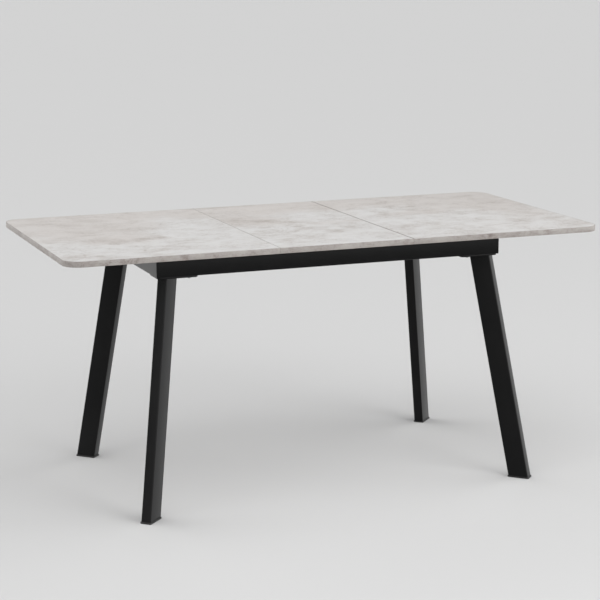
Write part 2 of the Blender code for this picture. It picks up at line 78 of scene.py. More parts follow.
class Axis(Enum):
    """The frame's three directions."""

    X = 0
    Y = 1
    Z = 2

    def others(self) -> tuple[int, int]:
        """The indices of the two other directions, in order."""
        first, second = (i for i in range(3) if i != self.value)
        return first, second

    def drawn(self, across: float, along: float) -> Triple:
        """A pattern's scale that is drawn out along this direction."""
        return tuple(along if i == self.value else across for i in range(3))


class Named(Enum):
    """A choice whose name stands in the names of nodes."""

    @property
    def word(self) -> str:
        """The choice as node names have it."""
        return self.name.lower()


class Side(Named):
    """The two halves of the table along its length."""

    LEFT = -1
    RIGHT = 1

    def ends(self, low: Vector, high: Vector) -> Pair:
        """Where a box on this side ends, toward the table's middle and away from it."""
        return (low.x, high.x) if self is Side.RIGHT else (high.x, low.x)


class Edge(Named):
    """The two long edges of the table."""

    FRONT = -1
    REAR = 1


class Facing(Enum):
    """Which way a fastener's head looks."""

    UP = 1
    DOWN = -1


def corners() -> list[tuple[Edge, Side]]:
    """The four corners of the table, as (edge, side)."""
    return [(edge, side) for edge in Edge for side in Side]


# ---------------------------------------------------------------------------------------------
# Shaping
# ---------------------------------------------------------------------------------------------


def anywhere(place: Vector) -> bool:
    """A test that every point passes."""
    return True


class Form:
    """A mesh being shaped, in the frame's coordinates."""

    def __init__(self) -> None:
        """Starts with nothing in it."""
        self.mesh = bmesh.new()

    @classmethod
    def block(cls, low: Vector, high: Vector) -> Form:
        """A box between two corners.

        Args:
            low: The lowest corner.
            high: The highest corner.

        Returns:
            The new form.
        """
        form = cls()
        bmesh.ops.create_cube(form.mesh, size=1.0)
        bmesh.ops.scale(form.mesh, vec=high - low, verts=form.mesh.verts)
        return form.move((low + high) / 2)

    @classmethod
    def profile(cls, outline: Sequence[Pair], axis: Axis, start: float, end: float) -> Form:
        """A flat outline pushed along an axis.

        Args:
            outline: Points in the plane across the axis, in the order of the other two directions.
            axis: The direction that the outline is pushed in.
            start: Where it starts along the axis.
            end: Where it ends.

        Returns:
            The new form.
        """
        form = cls()
        first, second = axis.others()
        points = []
        for u, v in outline:
            place = Vector((0.0, 0.0, 0.0))
            place[axis.value], place[first], place[second] = start, u, v
            points.append(form.mesh.verts.new(place))
        cap = form.mesh.faces.new(points)
        grown = bmesh.ops.extrude_face_region(form.mesh, geom=[cap], use_keep_orig=True)["geom"]
        shift = Vector((0.0, 0.0, 0.0))
        shift[axis.value] = end - start
        moved = [item for item in grown if isinstance(item, MeshVert)]
        bmesh.ops.translate(form.mesh, vec=shift, verts=moved)
        return form

    @classmethod
    def turned(cls, outline: Sequence[Pair], place: Vector, steps: int = 32) -> Form:
        """A turned piece about an upright axis.

        Args:
            outline: (radius, height) points, starting and ending on the axis.
            place: What the axis passes through, and the height that the points count from.
            steps: How many faces go round.

        Returns:
            The new form.
        """
        form = cls()
        points = [form.mesh.verts.new((radius, 0.0, height)) for radius, height in outline]
        lines = [form.mesh.edges.new(pair) for pair in zip(points, points[1:])]
        bmesh.ops.spin(
            form.mesh, geom=points + lines, cent=ORIGIN, axis=UP, angle=TAU, steps=steps, use_merge=True)
        bmesh.ops.remove_doubles(form.mesh, verts=form.mesh.verts, dist=1e-6)
        return form.move(place)

    @classmethod
    def swept(cls, path: Sequence[Vector], radius: float, ripple: float, closed: bool) -> Form:
        """A round bead along a path, slightly rippled along its length.

        Args:
            path: The points that it follows.
            radius: Its radius.
            ripple: How much of the radius the ripples take.
            closed: Whether its end joins its start.

        Returns:
            The new form.
        """
        form = cls()
        count = len(path)
        ring = bmesh.ops.create_circle(form.mesh, cap_ends=not closed, segments=8, radius=radius)["verts"]
        first, here = list(ring), Matrix.Identity(4)
        for i, place in enumerate(path):
            before, after = path[i - 1], path[(i + 1) % count]
            if not closed:
                before, after = path[max(i - 1, 0)], path[min(i + 1, count - 1)]
            turn = (after - before).to_track_quat("Z", "Y").to_matrix().to_4x4()
            swell = 1 - ripple * (0.5 + 0.5 * math.sin(2.1 * i + 3 * noise.noise(place * 90)))
            there = Matrix.Translation(place) @ turn @ Matrix.Diagonal((swell, swell, 1, 1))
            if i:
                lines = dict.fromkeys(
                    edge for vert in ring for edge in vert.link_edges if edge.other_vert(vert) in ring)
                grown = bmesh.ops.extrude_edge_only(form.mesh, edges=list(lines))["geom"]
                ring = [item for item in grown if isinstance(item, MeshVert)]
            bmesh.ops.transform(form.mesh, matrix=there @ here.inverted(), verts=ring)
            here = there
        rims = [edge for edge in form.mesh.edges if edge.is_boundary]
        if closed:
            bmesh.ops.bridge_loops(form.mesh, edges=rims)
        else:
            bmesh.ops.holes_fill(form.mesh, edges=rims, sides=len(first))
        return form

    def lines(self, test: Test = anywhere, axis: Axis | None = None, least: float = 30.0) -> list[MeshEdge]:
        """The sharp edges that pass a test.

        Args:
            test: What both ends of an edge must pass.
            axis: The direction that the edges run in, or None for any.
            least: The smallest turn between an edge's faces, in degrees.

        Returns:
            The edges found.
        """
        self.mesh.normal_update()
        found = []
        for edge in self.mesh.edges:
            if edge.calc_face_angle(0.0) < math.radians(least):
                continue
            if axis is not None:
                along = (edge.verts[1].co - edge.verts[0].co).normalized()
                if abs(along[axis.value]) < 0.99:
                    continue
            if all(test(vert.co) for vert in edge.verts):
                found.append(edge)
        return found

    def round(self, lines: Iterable[MeshEdge], radius: float, steps: int = 3) -> Form:
        """Rounds edges.

        Args:
            lines: The edges.
            radius: How far the rounding reaches from each edge.
            steps: How many faces it has.

        Returns:
            This form.
        """
        bmesh.ops.bevel(
            self.mesh, geom=list(lines), offset=radius, offset_type="OFFSET", segments=steps, profile=0.5,
            affect="EDGES", material=-1, clamp_overlap=True)
        return self

    def ease(self, radius: float, steps: int = 2) -> Form:
        """Rounds every sharp edge a little.

        Args:
            radius: How far the rounding reaches.
            steps: How many faces it has.

        Returns:
            This form.
        """
        return self.round(self.lines(least=40.0), radius, steps)

    def remove(self, test: FaceTest) -> Form:
        """Takes away the faces that pass a test.

        Args:
            test: The test.

        Returns:
            This form.
        """
        self.mesh.normal_update()
        gone = [face for face in self.mesh.faces if test(face)]
        bmesh.ops.delete(self.mesh, geom=gone, context="FACES")
        return self

    def wall(self, thickness: float) -> Form:
        """Gives an open surface a wall, inward.

        Args:
            thickness: The wall's thickness.

        Returns:
            This form.
        """
        bmesh.ops.recalc_face_normals(self.mesh, faces=self.mesh.faces)
        bmesh.ops.solidify(self.mesh, geom=list(self.mesh.faces), thickness=thickness)
        return self

    def bend(self, rule: Callable[[Vector], Vector]) -> Form:
        """Moves every point by a rule."""
        for vert in self.mesh.verts:
            vert.co = rule(vert.co)
        return self

    def turn(self, angle: float) -> Form:
        """Turns the form about the Z axis.

        Args:
            angle: How far, in radians.

        Returns:
            This form.
        """
        matrix = Matrix.Rotation(angle, 3, "Z")
        bmesh.ops.rotate(self.mesh, cent=ORIGIN, matrix=matrix, verts=self.mesh.verts)
        return self

    def move(self, shift: Vector) -> Form:
        """Shifts the form."""
        bmesh.ops.translate(self.mesh, vec=shift, verts=self.mesh.verts)
        return self

    def paint(self, layer: Layer, test: FaceTest) -> Form:
        """Gives the faces that pass a test another of the piece's finishes.

        Args:
            layer: The finish.
            test: The test.

        Returns:
            This form.
        """
        self.mesh.normal_update()
        for face in self.mesh.faces:
            if test(face):
                face.material_index = layer.value
        return self

    def absorb(self, other: Form) -> Form:
        """Adds another form's shape to this one, as a body of its own.

        Args:
            other: The form that is used up.

        Returns:
            This form.
        """
        spare = bpy.data.meshes.new("spare")
        other.mesh.to_mesh(spare)
        self.mesh.from_mesh(spare)
        bpy.data.meshes.remove(spare)
        other.mesh.free()
        return self

    def made(self, name: str, finishes: Sequence[Material]) -> bpy.types.Object:
        """Turns the form into an object.

        Args:
            name: The piece's name.
            finishes: Its materials.

        Returns:
            The new object, at the origin.
        """
        bmesh.ops.recalc_face_normals(self.mesh, faces=self.mesh.faces)
        data = bpy.data.meshes.new(name)
        self.mesh.to_mesh(data)
        self.mesh.free()
        for finish in finishes:
            data.materials.append(finish)
        data.shade_smooth()
        data.set_sharp_from_angle(angle=math.radians(SHARP_FROM))
        obj = bpy.data.objects.new(name, data)
        bpy.context.scene.collection.objects.link(obj)
        return obj


def smooth_ring(size: Pair, radius: float, steps: int) -> list[Vector]:
    """Points round a rectangle with round corners, evenly near each other, at height 0.

    Args:
        size: The rectangle's sides.
        radius: Its corners' radius.
        steps: How many points each corner and each side has.

    Returns:
        The points, once round.
    """
    half = Vector((size[0] / 2 - radius, size[1] / 2 - radius, 0.0))
    middles = [Vector((sx * half.x, sy * half.y, 0.0)) for sx, sy in ((1, 1), (-1, 1), (-1, -1), (1, -1))]
    ring: list[Vector] = []
    for quarter, middle in enumerate(middles):
        start = quarter * TAU / 4
        for i in range(steps):
            angle = start + TAU / 4 * i / steps
            ring.append(middle + radius * Vector((math.cos(angle), math.sin(angle), 0.0)))
        last = start + TAU / 4
        reach = radius * Vector((math.cos(last), math.sin(last), 0.0))
        following = middles[(quarter + 1) % 4]
        ring += [(middle + reach).lerp(following + reach, i / steps) for i in range(steps)]
    return ring


# ---------------------------------------------------------------------------------------------
# Finishes
# ---------------------------------------------------------------------------------------------


class Tree:
    """A node tree being wired up."""

    def __init__(self, tree: NodeTree) -> None:
        """Takes the tree to work on."""
        self.tree = tree

    def feed(self, socket: Socket, value: object) -> None:
        """Gives an input a value of its own, or another node's output.

        Args:
            socket: The input.
            value: The value or the output.
        """
        if isinstance(value, Socket):
            self.tree.links.new(value, socket)
        else:
            socket.default_value = value

    def add(self, kind: str, inputs: dict[str | int, object] | None = None, **settings: object) -> Node:
        """Places a node.

        Args:
            kind: The node's type name.
            inputs: What its inputs get: a value, or another node's output.
            settings: Its properties.

        Returns:
            The new node.
        """
        node = self.tree.nodes.new(kind)
        for name, value in settings.items():
            setattr(node, name, value)
        for name, value in (inputs or {}).items():
            self.feed(node.inputs[name], value)
        return node

    def give(self, **outputs: object) -> NodeTree:
        """Feeds a group's outputs and hands the group over."""
        self.add("NodeGroupOutput", outputs)
        return self.tree

    def math(self, operation: str, first: object, second: object = 0.0, third: object = 0.0,
             clamp: bool = False) -> Socket:
        """The result of a sum on one to three values."""
        inputs = {0: first, 1: second, 2: third}
        return self.add("ShaderNodeMath", inputs, operation=operation, use_clamp=clamp).outputs[0]

    def swing(self, value: object, amount: float, level: object, clamp: bool = False) -> Socket:
        """A noise's swing about its middle value, times an amount, on top of a level."""
        return self.math("MULTIPLY_ADD", self.math("SUBTRACT", value, 0.5), amount, level, clamp)

    def vector(self, operation: str, first: object, second: object, output: str = "Vector") -> Socket:
        """The result of a sum on two vectors."""
        inputs = {0: first, 1: second}
        return self.add("ShaderNodeVectorMath", inputs, operation=operation).outputs[output]

    def scaled(self, vector: object, factor: object) -> Socket:
        """A vector times a number."""
        inputs = {0: vector, "Scale": factor}
        return self.add("ShaderNodeVectorMath", inputs, operation="SCALE").outputs[0]

    def noise(self, vector: object, scale: object, detail: float = 3.0, roughness: float = 0.5,
              distortion: float = 0.0, output: str = "Fac") -> Socket:
        """A noise at the given coordinates."""
        inputs = {"Vector": vector, "Scale": scale, "Detail": detail, "Roughness": roughness,
                  "Distortion": distortion}
        return self.add("ShaderNodeTexNoise", inputs).outputs[output]

    def stretched(self, vector: object, scale: Triple, shift: Triple = (0, 0, 0)) -> Socket:
        """Coordinates scaled unevenly and shifted."""
        inputs = {"Vector": vector, "Location": shift, "Scale": scale}
        return self.add("ShaderNodeMapping", inputs).outputs[0]

    def ramp(self, value: object, low: float, high: float) -> Socket:
        """A value taken smoothly from the range low to high into 0 to 1."""
        inputs = {"Value": value, "From Min": low, "From Max": high}
        return self.add("ShaderNodeMapRange", inputs, interpolation_type="SMOOTHSTEP").outputs[0]

    def mix(self, amount: object, first: object, second: object) -> Socket:
        """Two colours mixed."""
        inputs = {0: amount, 6: first, 7: second}
        return self.add("ShaderNodeMix", inputs, data_type="RGBA").outputs[2]

    def bump(self, strength: float, distance: object, height: object, **under: object) -> Socket:
        """The normal that a height gives, on top of another normal if one is given."""
        inputs = {"Strength": strength, "Distance": distance, "Height": height, **under}
        return self.add("ShaderNodeBump", inputs).outputs[0]


def opaque(colour: Colour) -> tuple[float, float, float, float]:
    """The colour with full alpha."""
    return (*colour, 1.0)


class Effects:
    """The shader groups that several finishes share, each built once."""

    nowhere = (0.0, 0.0, 0.0)

    def __init__(self) -> None:
        """Builds the groups."""
        self.stone = self._stone()
        self.warp = self._warp()
        self.stroke = self._stroke()
        self.grain = self._grain()
        self.scuffs = self._scuffs()

    @staticmethod
    def _group(name: str, inputs: dict[str, object], **outputs: str) -> tuple[Tree, Sequence[Socket]]:
        """A group with its sockets and its input node.

        Args:
            name: The group's name.
            inputs: Each input's default value: a number, three for a vector or four for a colour.
            outputs: Each output's kind.

        Returns:
            The tree, and what comes in.
        """
        group = bpy.data.node_groups.new(name, "ShaderNodeTree")
        for label, value in inputs.items():
            kind = {3: "Vector", 4: "Color"}[len(value)] if isinstance(value, tuple) else "Float"
            socket = group.interface.new_socket(name=label, in_out="INPUT", socket_type=f"NodeSocket{kind}")
            socket.default_value = value
        for label, kind in outputs.items():
            group.interface.new_socket(name=label, in_out="OUTPUT", socket_type=f"NodeSocket{kind}")
        tree = Tree(group)
        return tree, tree.add("NodeGroupInput").outputs

    @staticmethod
    def _ridge(tree: Tree, point: Socket, scale: float, width: float) -> Socket:
        """Crooked lines where a noise crosses its middle value.

        Args:
            tree: The tree to place them in.
            point: The coordinates.
            scale: The noise's scale.
            width: How far from the middle value a line fades out.

        Returns:
            The lines' mask.
        """
        level = tree.noise(point, scale, 5.0, 0.6, 0.6)
        away = tree.math("ABSOLUTE", tree.math("SUBTRACT", level, 0.5))
        return tree.math("SUBTRACT", 1.0, tree.ramp(away, 0.0, width))

    def _stone(self) -> NodeTree:
        """The printed stone: soft mottling, short veins and fine speckle between three tones.

        Returns:
            The group.
        """
        tree, given = self._group("printed_stone", {
            "Point": self.nowhere, "Pale": (0.62, 0.61, 0.59, 1.0), "Warm": (0.55, 0.50, 0.46, 1.0),
            "Dark": (0.36, 0.32, 0.29, 1.0), "Warmth": 0.5, "Marks": 0.0, "Veining": 0.5,
        }, Colour="Color", Shade="Float")
        point = given["Point"]
        clouds = tree.noise(point, 5.5, 5.0, 0.6, 0.4)
        shifted = tree.stretched(point, (1.0, 1.4, 1.0), (2.0, 3.0, 0.0))
        drifts = tree.noise(shifted, 11.0, 5.0, 0.62, 0.5)
        mottle = tree.noise(point, 24.0, 5.0, 0.66, 0.3)
        ridge = self._ridge(tree, point, 9.0, 0.035)
        hairs = tree.math("MULTIPLY", self._ridge(tree, point, 27.0, 0.03), tree.ramp(drifts, 0.38, 0.6))
        crackle = self._ridge(tree, point, 21.0, 0.11)
        patch = tree.ramp(tree.noise(point, 3.4, 3.0, 0.55), 0.47, 0.66)
        fleck = tree.ramp(tree.noise(point, 170.0, 3.0, 0.65), 0.3, 0.7)
        warm = tree.ramp(tree.swing(clouds, 1.3, given["Warmth"]), -0.05, 1.05)
        colour = tree.mix(warm, given["Pale"], given["Warm"])
        veins = tree.math("MULTIPLY_ADD", ridge, patch, tree.math("MULTIPLY", hairs, 1.3))
        veins = tree.math("MULTIPLY", veins, given["Veining"])
        dusk = tree.swing(mottle, 0.6, tree.swing(drifts, 1.2, 0.12), clamp=True)
        patchy = tree.math("MULTIPLY_ADD", tree.ramp(drifts, 0.35, 0.65), 0.3, 0.36)
        broken = tree.math("MULTIPLY", given["Marks"], tree.math("MULTIPLY_ADD", crackle, 0.7, 0.35))
        broken = tree.math("MULTIPLY", broken, patchy)
        dusk = tree.math("ADD", tree.math("ADD", veins, dusk), broken, clamp=True)
        colour = tree.mix(dusk, colour, given["Dark"])
        colour = tree.mix(tree.math("MULTIPLY", fleck, 0.08), colour, (1.0, 0.99, 0.97, 1.0))
        return tree.give(Colour=colour, Shade=fleck)

    def _warp(self) -> NodeTree:
        """Coordinates pushed about, so that what is drawn on them gets an uneven outline.

        Returns:
            The group.
        """
        inputs = {"Point": self.nowhere, "Broad": 0.05, "Fine": 0.012}
        tree, given = self._group("uneven_outline", inputs, Point="Vector")
        point = given["Point"]
        for scale, reach in ((7.0, "Broad"), (38.0, "Fine")):
            drift = tree.noise(given["Point"], scale, output="Color")
            drift = tree.vector("SUBTRACT", drift, (0.5, 0.5, 0.5))
            point = tree.vector("ADD", point, tree.scaled(drift, given[reach]))
        return tree.give(Point=point)

    def _stroke(self) -> NodeTree:
        """A soft stroke between two places.

        Returns:
            The group.
        """
        tree, given = self._group("soft_stroke", {
            "Point": self.nowhere, "Start": self.nowhere, "End": (0.1, 0.0, 0.0), "Reach": 0.02,
            "Below": 0.0, "Weight": 1.0,
        }, Mask="Float")
        run = tree.vector("SUBTRACT", given["End"], given["Start"])
        offset = tree.vector("SUBTRACT", given["Point"], given["Start"])
        flat = tree.vector("MULTIPLY", offset, (1.0, 1.0, 0.0))
        along = tree.vector("DOT_PRODUCT", flat, run, "Value")
        share = tree.math("DIVIDE", along, tree.vector("DOT_PRODUCT", run, run, "Value"), clamp=True)
        away = tree.vector("DISTANCE", flat, tree.scaled(run, share), "Value")
        near = tree.math("SUBTRACT", 1.0, tree.math("DIVIDE", away, given["Reach"]), clamp=True)
        eased = tree.math("MULTIPLY", near, tree.math("MULTIPLY_ADD", near, -2.0, 3.0))
        soft = tree.math("MULTIPLY", near, eased)
        return tree.give(Mask=tree.math("MULTIPLY_ADD", soft, given["Weight"], given["Below"]))

    def _grain(self) -> NodeTree:
        """A fine cellular unevenness, for coats and mouldings.

        Returns:
            The group.
        """
        inputs = {"Point": self.nowhere, "Size": 0.0012, "Depth": 0.0001}
        tree, given = self._group("fine_grain", inputs, Normal="Vector")
        scale = tree.math("DIVIDE", 1.0, given["Size"])
        coarse = tree.noise(given["Point"], scale, 2.0)
        cells = tree.add("ShaderNodeTexVoronoi", {"Vector": given["Point"], "Scale": scale})
        height = tree.math("MULTIPLY_ADD", cells.outputs["Distance"], 0.35, coarse)
        return tree.give(Normal=tree.bump(0.35, given["Depth"], height))

    def _scuffs(self) -> NodeTree:
        """Soft handling marks: broad dull patches and a few fine rubs.

        Returns:
            The group.
        """
        inputs = {"Point": self.nowhere, "Amount": 0.5}
        tree, given = self._group("handling_marks", inputs, Mask="Float")
        broad = tree.ramp(tree.noise(given["Point"], 7.0, 4.0, 0.6), 0.4, 0.7)
        rubs = tree.ramp(tree.noise(tree.stretched(given["Point"], (40, 40, 220)), 1.0, 2.0), 0.62, 0.72)
        both = tree.math("MULTIPLY_ADD", rubs, 0.4, broad)
        return tree.give(Mask=tree.math("MULTIPLY", both, given["Amount"], clamp=True))


class Finish:
    """A material in the making: its tree, its shader and the piece's own coordinates."""

    def __init__(self, name: str, effects: Effects | None = None) -> None:
        """Starts a material with a Principled shader.

        Args:
            name: The material's name.
            effects: The shared groups, if it uses any.
        """
        self.material = bpy.data.materials.new(name)
        self.material.use_nodes = True
        self.effects = effects
        self.tree = Tree(self.material.node_tree)
        self.shader = self.material.node_tree.nodes["Principled BSDF"]
        self.point = self.tree.add("ShaderNodeTexCoord").outputs["Object"]

    def set(self, **values: object) -> Material:
        """Sets the shader's own sockets, by their names with underscores for spaces.

        Args:
            values: The sockets' values.

        Returns:
            The material.
        """
        for name, value in values.items():
            self.tree.feed(self.shader.inputs[name.replace("_", " ")], value)
        return self.material

    def group(self, group: NodeTree, **inputs: object) -> Node:
        """Places a shared group, on the piece's own coordinates unless others are given."""
        return self.tree.add("ShaderNodeGroup", {"Point": self.point, **inputs}, node_tree=group)

    def grain(self, size: float, depth: float) -> Socket:
        """The normal of a fine grain."""
        return self.group(self.effects.grain, Size=size, Depth=depth).outputs["Normal"]

    def rubs(self, amount: float) -> Socket:
        """The mask of the handling marks."""
        return self.group(self.effects.scuffs, Amount=amount).outputs["Mask"]


@dataclass(frozen=True)
class Stroke:
    """A soft mark in the print, between two places on the table."""

    start: Pair
    end: Pair
    reach: float
    weight: float


def strokes(*rows: tuple[float, ...]) -> tuple[Stroke, ...]:
    """Strokes from rows of start x and y, end x and y, reach and weight."""
    return tuple(Stroke(row[:2], row[2:4], *row[4:]) for row in rows)


@dataclass(frozen=True)
class StoneLaminate:
    """Matt laminate printed as pale stone, with a colour shift by place across all boards: warmer and
    darker toward the rear, cooler toward the front.
    """

    name: str
    shift: Triple
    marks: tuple[Stroke, ...]
    warm_patches: tuple[Stroke, ...]
    # warm_from is a depth along the table's Y axis: behind it the colour turns warmer and darker on every
    # board alike.
    warm_from: float = 0.16
    warm_spread: float = 0.16
    unevenness: Pair = (0.08, 0.06)
    softness: float = 1.4
    veining: float = 0.34
    pale: Colour = (0.557, 0.551, 0.546)
    warm: Colour = (0.496, 0.468, 0.449)
    dark: Colour = (0.335, 0.300, 0.275)
    specular: float = 0.2

    def build(self, effects: Effects) -> Material:
        """Builds the material.

        Args:
            effects: The shared groups.

        Returns:
            The material.
        """
        finish = Finish(self.name, effects)
        tree = finish.tree
        broad, fine = self.unevenness
        uneven = finish.group(effects.warp, Broad=broad, Fine=fine).outputs[0]
        across = tree.add("ShaderNodeSeparateXYZ", {0: uneven}).outputs["Y"]
        warmth = tree.ramp(across, self.warm_from - self.warm_spread, self.warm_from + self.warm_spread)
        stone = finish.group(
            effects.stone, Point=tree.stretched(finish.point, (1, 1, 1), self.shift),
            Pale=opaque(self.pale), Warm=opaque(self.warm), Dark=opaque(self.dark),
            Warmth=self._strokes(finish, uneven, self.warm_patches, warmth),
            Marks=self._strokes(finish, uneven, self.marks, 0.0), Veining=self.veining).outputs
        return finish.set(
            Base_Color=stone["Colour"], Roughness=tree.math("MULTIPLY_ADD", stone["Shade"], 0.06, 0.52),
            Specular_IOR_Level=self.specular, Normal=tree.bump(0.25, 0.00005, stone["Shade"]))

    def _strokes(self, finish: Finish, point: Socket, drawn: Sequence[Stroke], below: object) -> object:
        """Adds strokes on top of a mask.

        Args:
            finish: The material being wired.
            point: The coordinates that the strokes are drawn on.
            drawn: The strokes.
            below: The mask so far.

        Returns:
            The mask with the strokes.
        """
        for stroke in drawn:
            below = finish.group(
                finish.effects.stroke, Point=point, Start=(*stroke.start, 0.0), End=(*stroke.end, 0.0),
                Reach=stroke.reach * self.softness, Weight=stroke.weight, Below=below).outputs["Mask"]
        return below


LEFT_MARKS = strokes(
    (-0.73, 0.31, -0.67, 0.22, 0.035, 0.5), (-0.67, 0.22, -0.56, 0.16, 0.03, 0.5),
    (-0.58, 0.28, -0.55, 0.29, 0.03, 0.45), (-0.58, 0.12, -0.46, 0.07, 0.04, 0.5),
    (-0.66, 0.10, -0.65, 0.05, 0.03, 0.3), (-0.39, 0.14, -0.385, 0.10, 0.025, 0.4),
    (-0.47, -0.01, -0.465, -0.09, 0.022, 0.5), (-0.58, -0.13, -0.49, -0.09, 0.04, 0.75),
    (-0.76, -0.08, -0.64, -0.09, 0.03, 0.35), (-0.52, -0.28, -0.39, -0.28, 0.035, 0.4),
    (-0.58, -0.34, -0.50, -0.29, 0.025, 0.4), (-0.42, -0.20, -0.37, -0.17, 0.03, 0.3),
    (-0.25, -0.21, -0.21, -0.18, 0.03, 0.35), (-0.78, -0.35, -0.71, -0.28, 0.02, 0.35),
)
LEFT_WARMTH = strokes(
    (-0.78, 0.05, -0.66, -0.02, 0.16, 0.6), (-0.60, -0.10, -0.50, -0.08, 0.09, 0.5),
    (-0.62, 0.08, -0.46, 0.08, 0.12, 0.8),
    (-0.34, 0.12, -0.30, -0.02, 0.16, -0.7), (-0.75, -0.32, -0.70, -0.33, 0.07, 0.4),
)
LEAF_MARKS = strokes(
    (-0.17, 0.10, -0.09, 0.07, 0.035, 0.65), (-0.09, 0.07, -0.03, 0.03, 0.025, 0.55),
    (-0.19, 0.19, -0.15, 0.15, 0.04, 0.4), (-0.015, 0.11, 0.01, 0.13, 0.022, 0.55),
    (0.02, -0.12, 0.05, -0.18, 0.032, 0.6), (0.05, -0.18, 0.12, -0.13, 0.032, 0.65),
    (0.12, -0.13, 0.145, -0.08, 0.02, 0.5), (-0.13, -0.12, -0.04, -0.14, 0.025, 0.3),
    (0.07, -0.32, 0.16, -0.33, 0.03, 0.5), (-0.15, -0.27, -0.13, -0.27, 0.022, 0.5),
    (-0.17, 0.02, -0.12, 0.0, 0.03, 0.25),
)
LEAF_WARMTH = strokes(
    (-0.17, 0.08, -0.06, 0.05, 0.11, 0.9), (0.04, 0.10, 0.17, 0.07, 0.12, -0.7),
    (0.05, -0.02, 0.18, -0.03, 0.04, 0.7),
)
RIGHT_MARKS = strokes(
    (0.33, 0.29, 0.40, 0.29, 0.035, 0.5), (0.30, 0.22, 0.34, 0.20, 0.03, 0.35),
    (0.39, 0.18, 0.43, 0.10, 0.03, 0.65), (0.46, 0.19, 0.43, 0.10, 0.025, 0.55),
    (0.31, 0.09, 0.33, 0.05, 0.03, 0.45), (0.55, 0.09, 0.62, 0.07, 0.035, 0.6),
    (0.70, 0.21, 0.72, 0.14, 0.035, 0.45), (0.60, 0.30, 0.70, 0.32, 0.035, 0.35),
    (0.43, -0.04, 0.43, -0.09, 0.022, 0.5), (0.28, -0.18, 0.38, -0.17, 0.035, 0.4),
    (0.32, -0.22, 0.31, -0.30, 0.025, 0.35), (0.54, -0.14, 0.57, -0.18, 0.02, 0.35),
    (0.61, -0.24, 0.63, -0.22, 0.04, 0.6), (0.74, -0.20, 0.79, -0.20, 0.03, 0.4),
    (0.72, -0.35, 0.75, -0.36, 0.03, 0.35),
)
RIGHT_WARMTH = strokes(
    (0.72, 0.10, 0.74, -0.05, 0.16, 0.6), (0.33, 0.13, 0.42, 0.14, 0.08, -0.5),
    (0.46, 0.12, 0.62, 0.08, 0.12, 0.5),
    (0.33, 0.05, 0.46, 0.06, 0.06, 0.6), (0.60, -0.26, 0.78, -0.30, 0.12, 0.35),
)
PRINTS = {
    "left": ((0.3, 0.1, 0.0), LEFT_MARKS, LEFT_WARMTH),
    "leaf": ((5.7, 2.3, 0.0), LEAF_MARKS, LEAF_WARMTH),
    "right": ((9.2, 6.4, 0.0), RIGHT_MARKS, RIGHT_WARMTH),
}


@dataclass(frozen=True)
class StoneBand:
    """Edge band with the same stone pattern in greyer, darker tones than the top, with short brown streaks.
    """

    name: str = "stone_edge_band"
    pale: Colour = (0.352, 0.331, 0.311)
    warm: Colour = (0.288, 0.264, 0.247)
    dark: Colour = (0.15, 0.118, 0.108)
    streaks: float = 0.6
    veining: float = 0.4

    def build(self, effects: Effects) -> Material:
        """Builds the material.

        Args:
            effects: The shared groups.

        Returns:
            The material.
        """
        finish = Finish(self.name, effects)
        tree = finish.tree
        knots = tree.noise(tree.stretched(finish.point, (9, 9, 5)), 1.0, 3.0, 0.6)
        stone = finish.group(
            effects.stone, Point=tree.stretched(finish.point, (2.6, 2.6, 4.0), (0.4, 0.9, 0)),
            Pale=opaque(self.pale), Warm=opaque(self.warm), Dark=opaque(self.dark), Warmth=0.5,
            Marks=tree.math("MULTIPLY", tree.ramp(knots, 0.55, 0.68), self.streaks), Veining=self.veining)
        return finish.set(
            Base_Color=stone.outputs["Colour"], Roughness=0.55, Specular_IOR_Level=0.25,
            Normal=finish.grain(0.0008, 0.00005))


@dataclass(frozen=True)
class Coating:
    """Powder coat or moulded plastic: finely grained, and duller where it was handled."""

    name: str
    colour: Colour
    worn: Colour
    roughness: float = 0.5
    dulling: float = 0.12
    wear: float = 0.8
    grain: Pair = (0.0006, 0.00008)
    specular: float = 0.5

    def build(self, effects: Effects) -> Material:
        """Builds the material.

        Args:
            effects: The shared groups.

        Returns:
            The material.
        """
        finish = Finish(self.name, effects)
        marks = finish.rubs(self.wear)
        return finish.set(
            Base_Color=finish.tree.mix(marks, opaque(self.colour), opaque(self.worn)),
            Roughness=finish.tree.math("MULTIPLY_ADD", marks, self.dulling, self.roughness),
            Specular_IOR_Level=self.specular, Normal=finish.grain(*self.grain))


@dataclass(frozen=True)
class DrawnMetal:
    """Bare or plated metal with drawing lines along one axis and a dull bloom."""

    name: str
    axis: Axis
    colour: Colour
    bloom: Colour
    roughness: float = 0.34
    lines: Pair = (900.0, 14.0)

    def build(self, effects: Effects) -> Material:
        """Builds the material.

        Args:
            effects: The shared groups.

        Returns:
            The material.
        """
        finish = Finish(self.name, effects)
        tree = finish.tree
        lines = tree.noise(tree.stretched(finish.point, self.axis.drawn(*self.lines)), 1.0, 2.0)
        return finish.set(
            Base_Color=tree.mix(finish.rubs(0.7), opaque(self.colour), opaque(self.bloom)), Metallic=1.0,
            Roughness=tree.math("MULTIPLY_ADD", lines, 0.14, self.roughness - 0.05),
            Normal=tree.bump(0.2, 0.00003, lines))


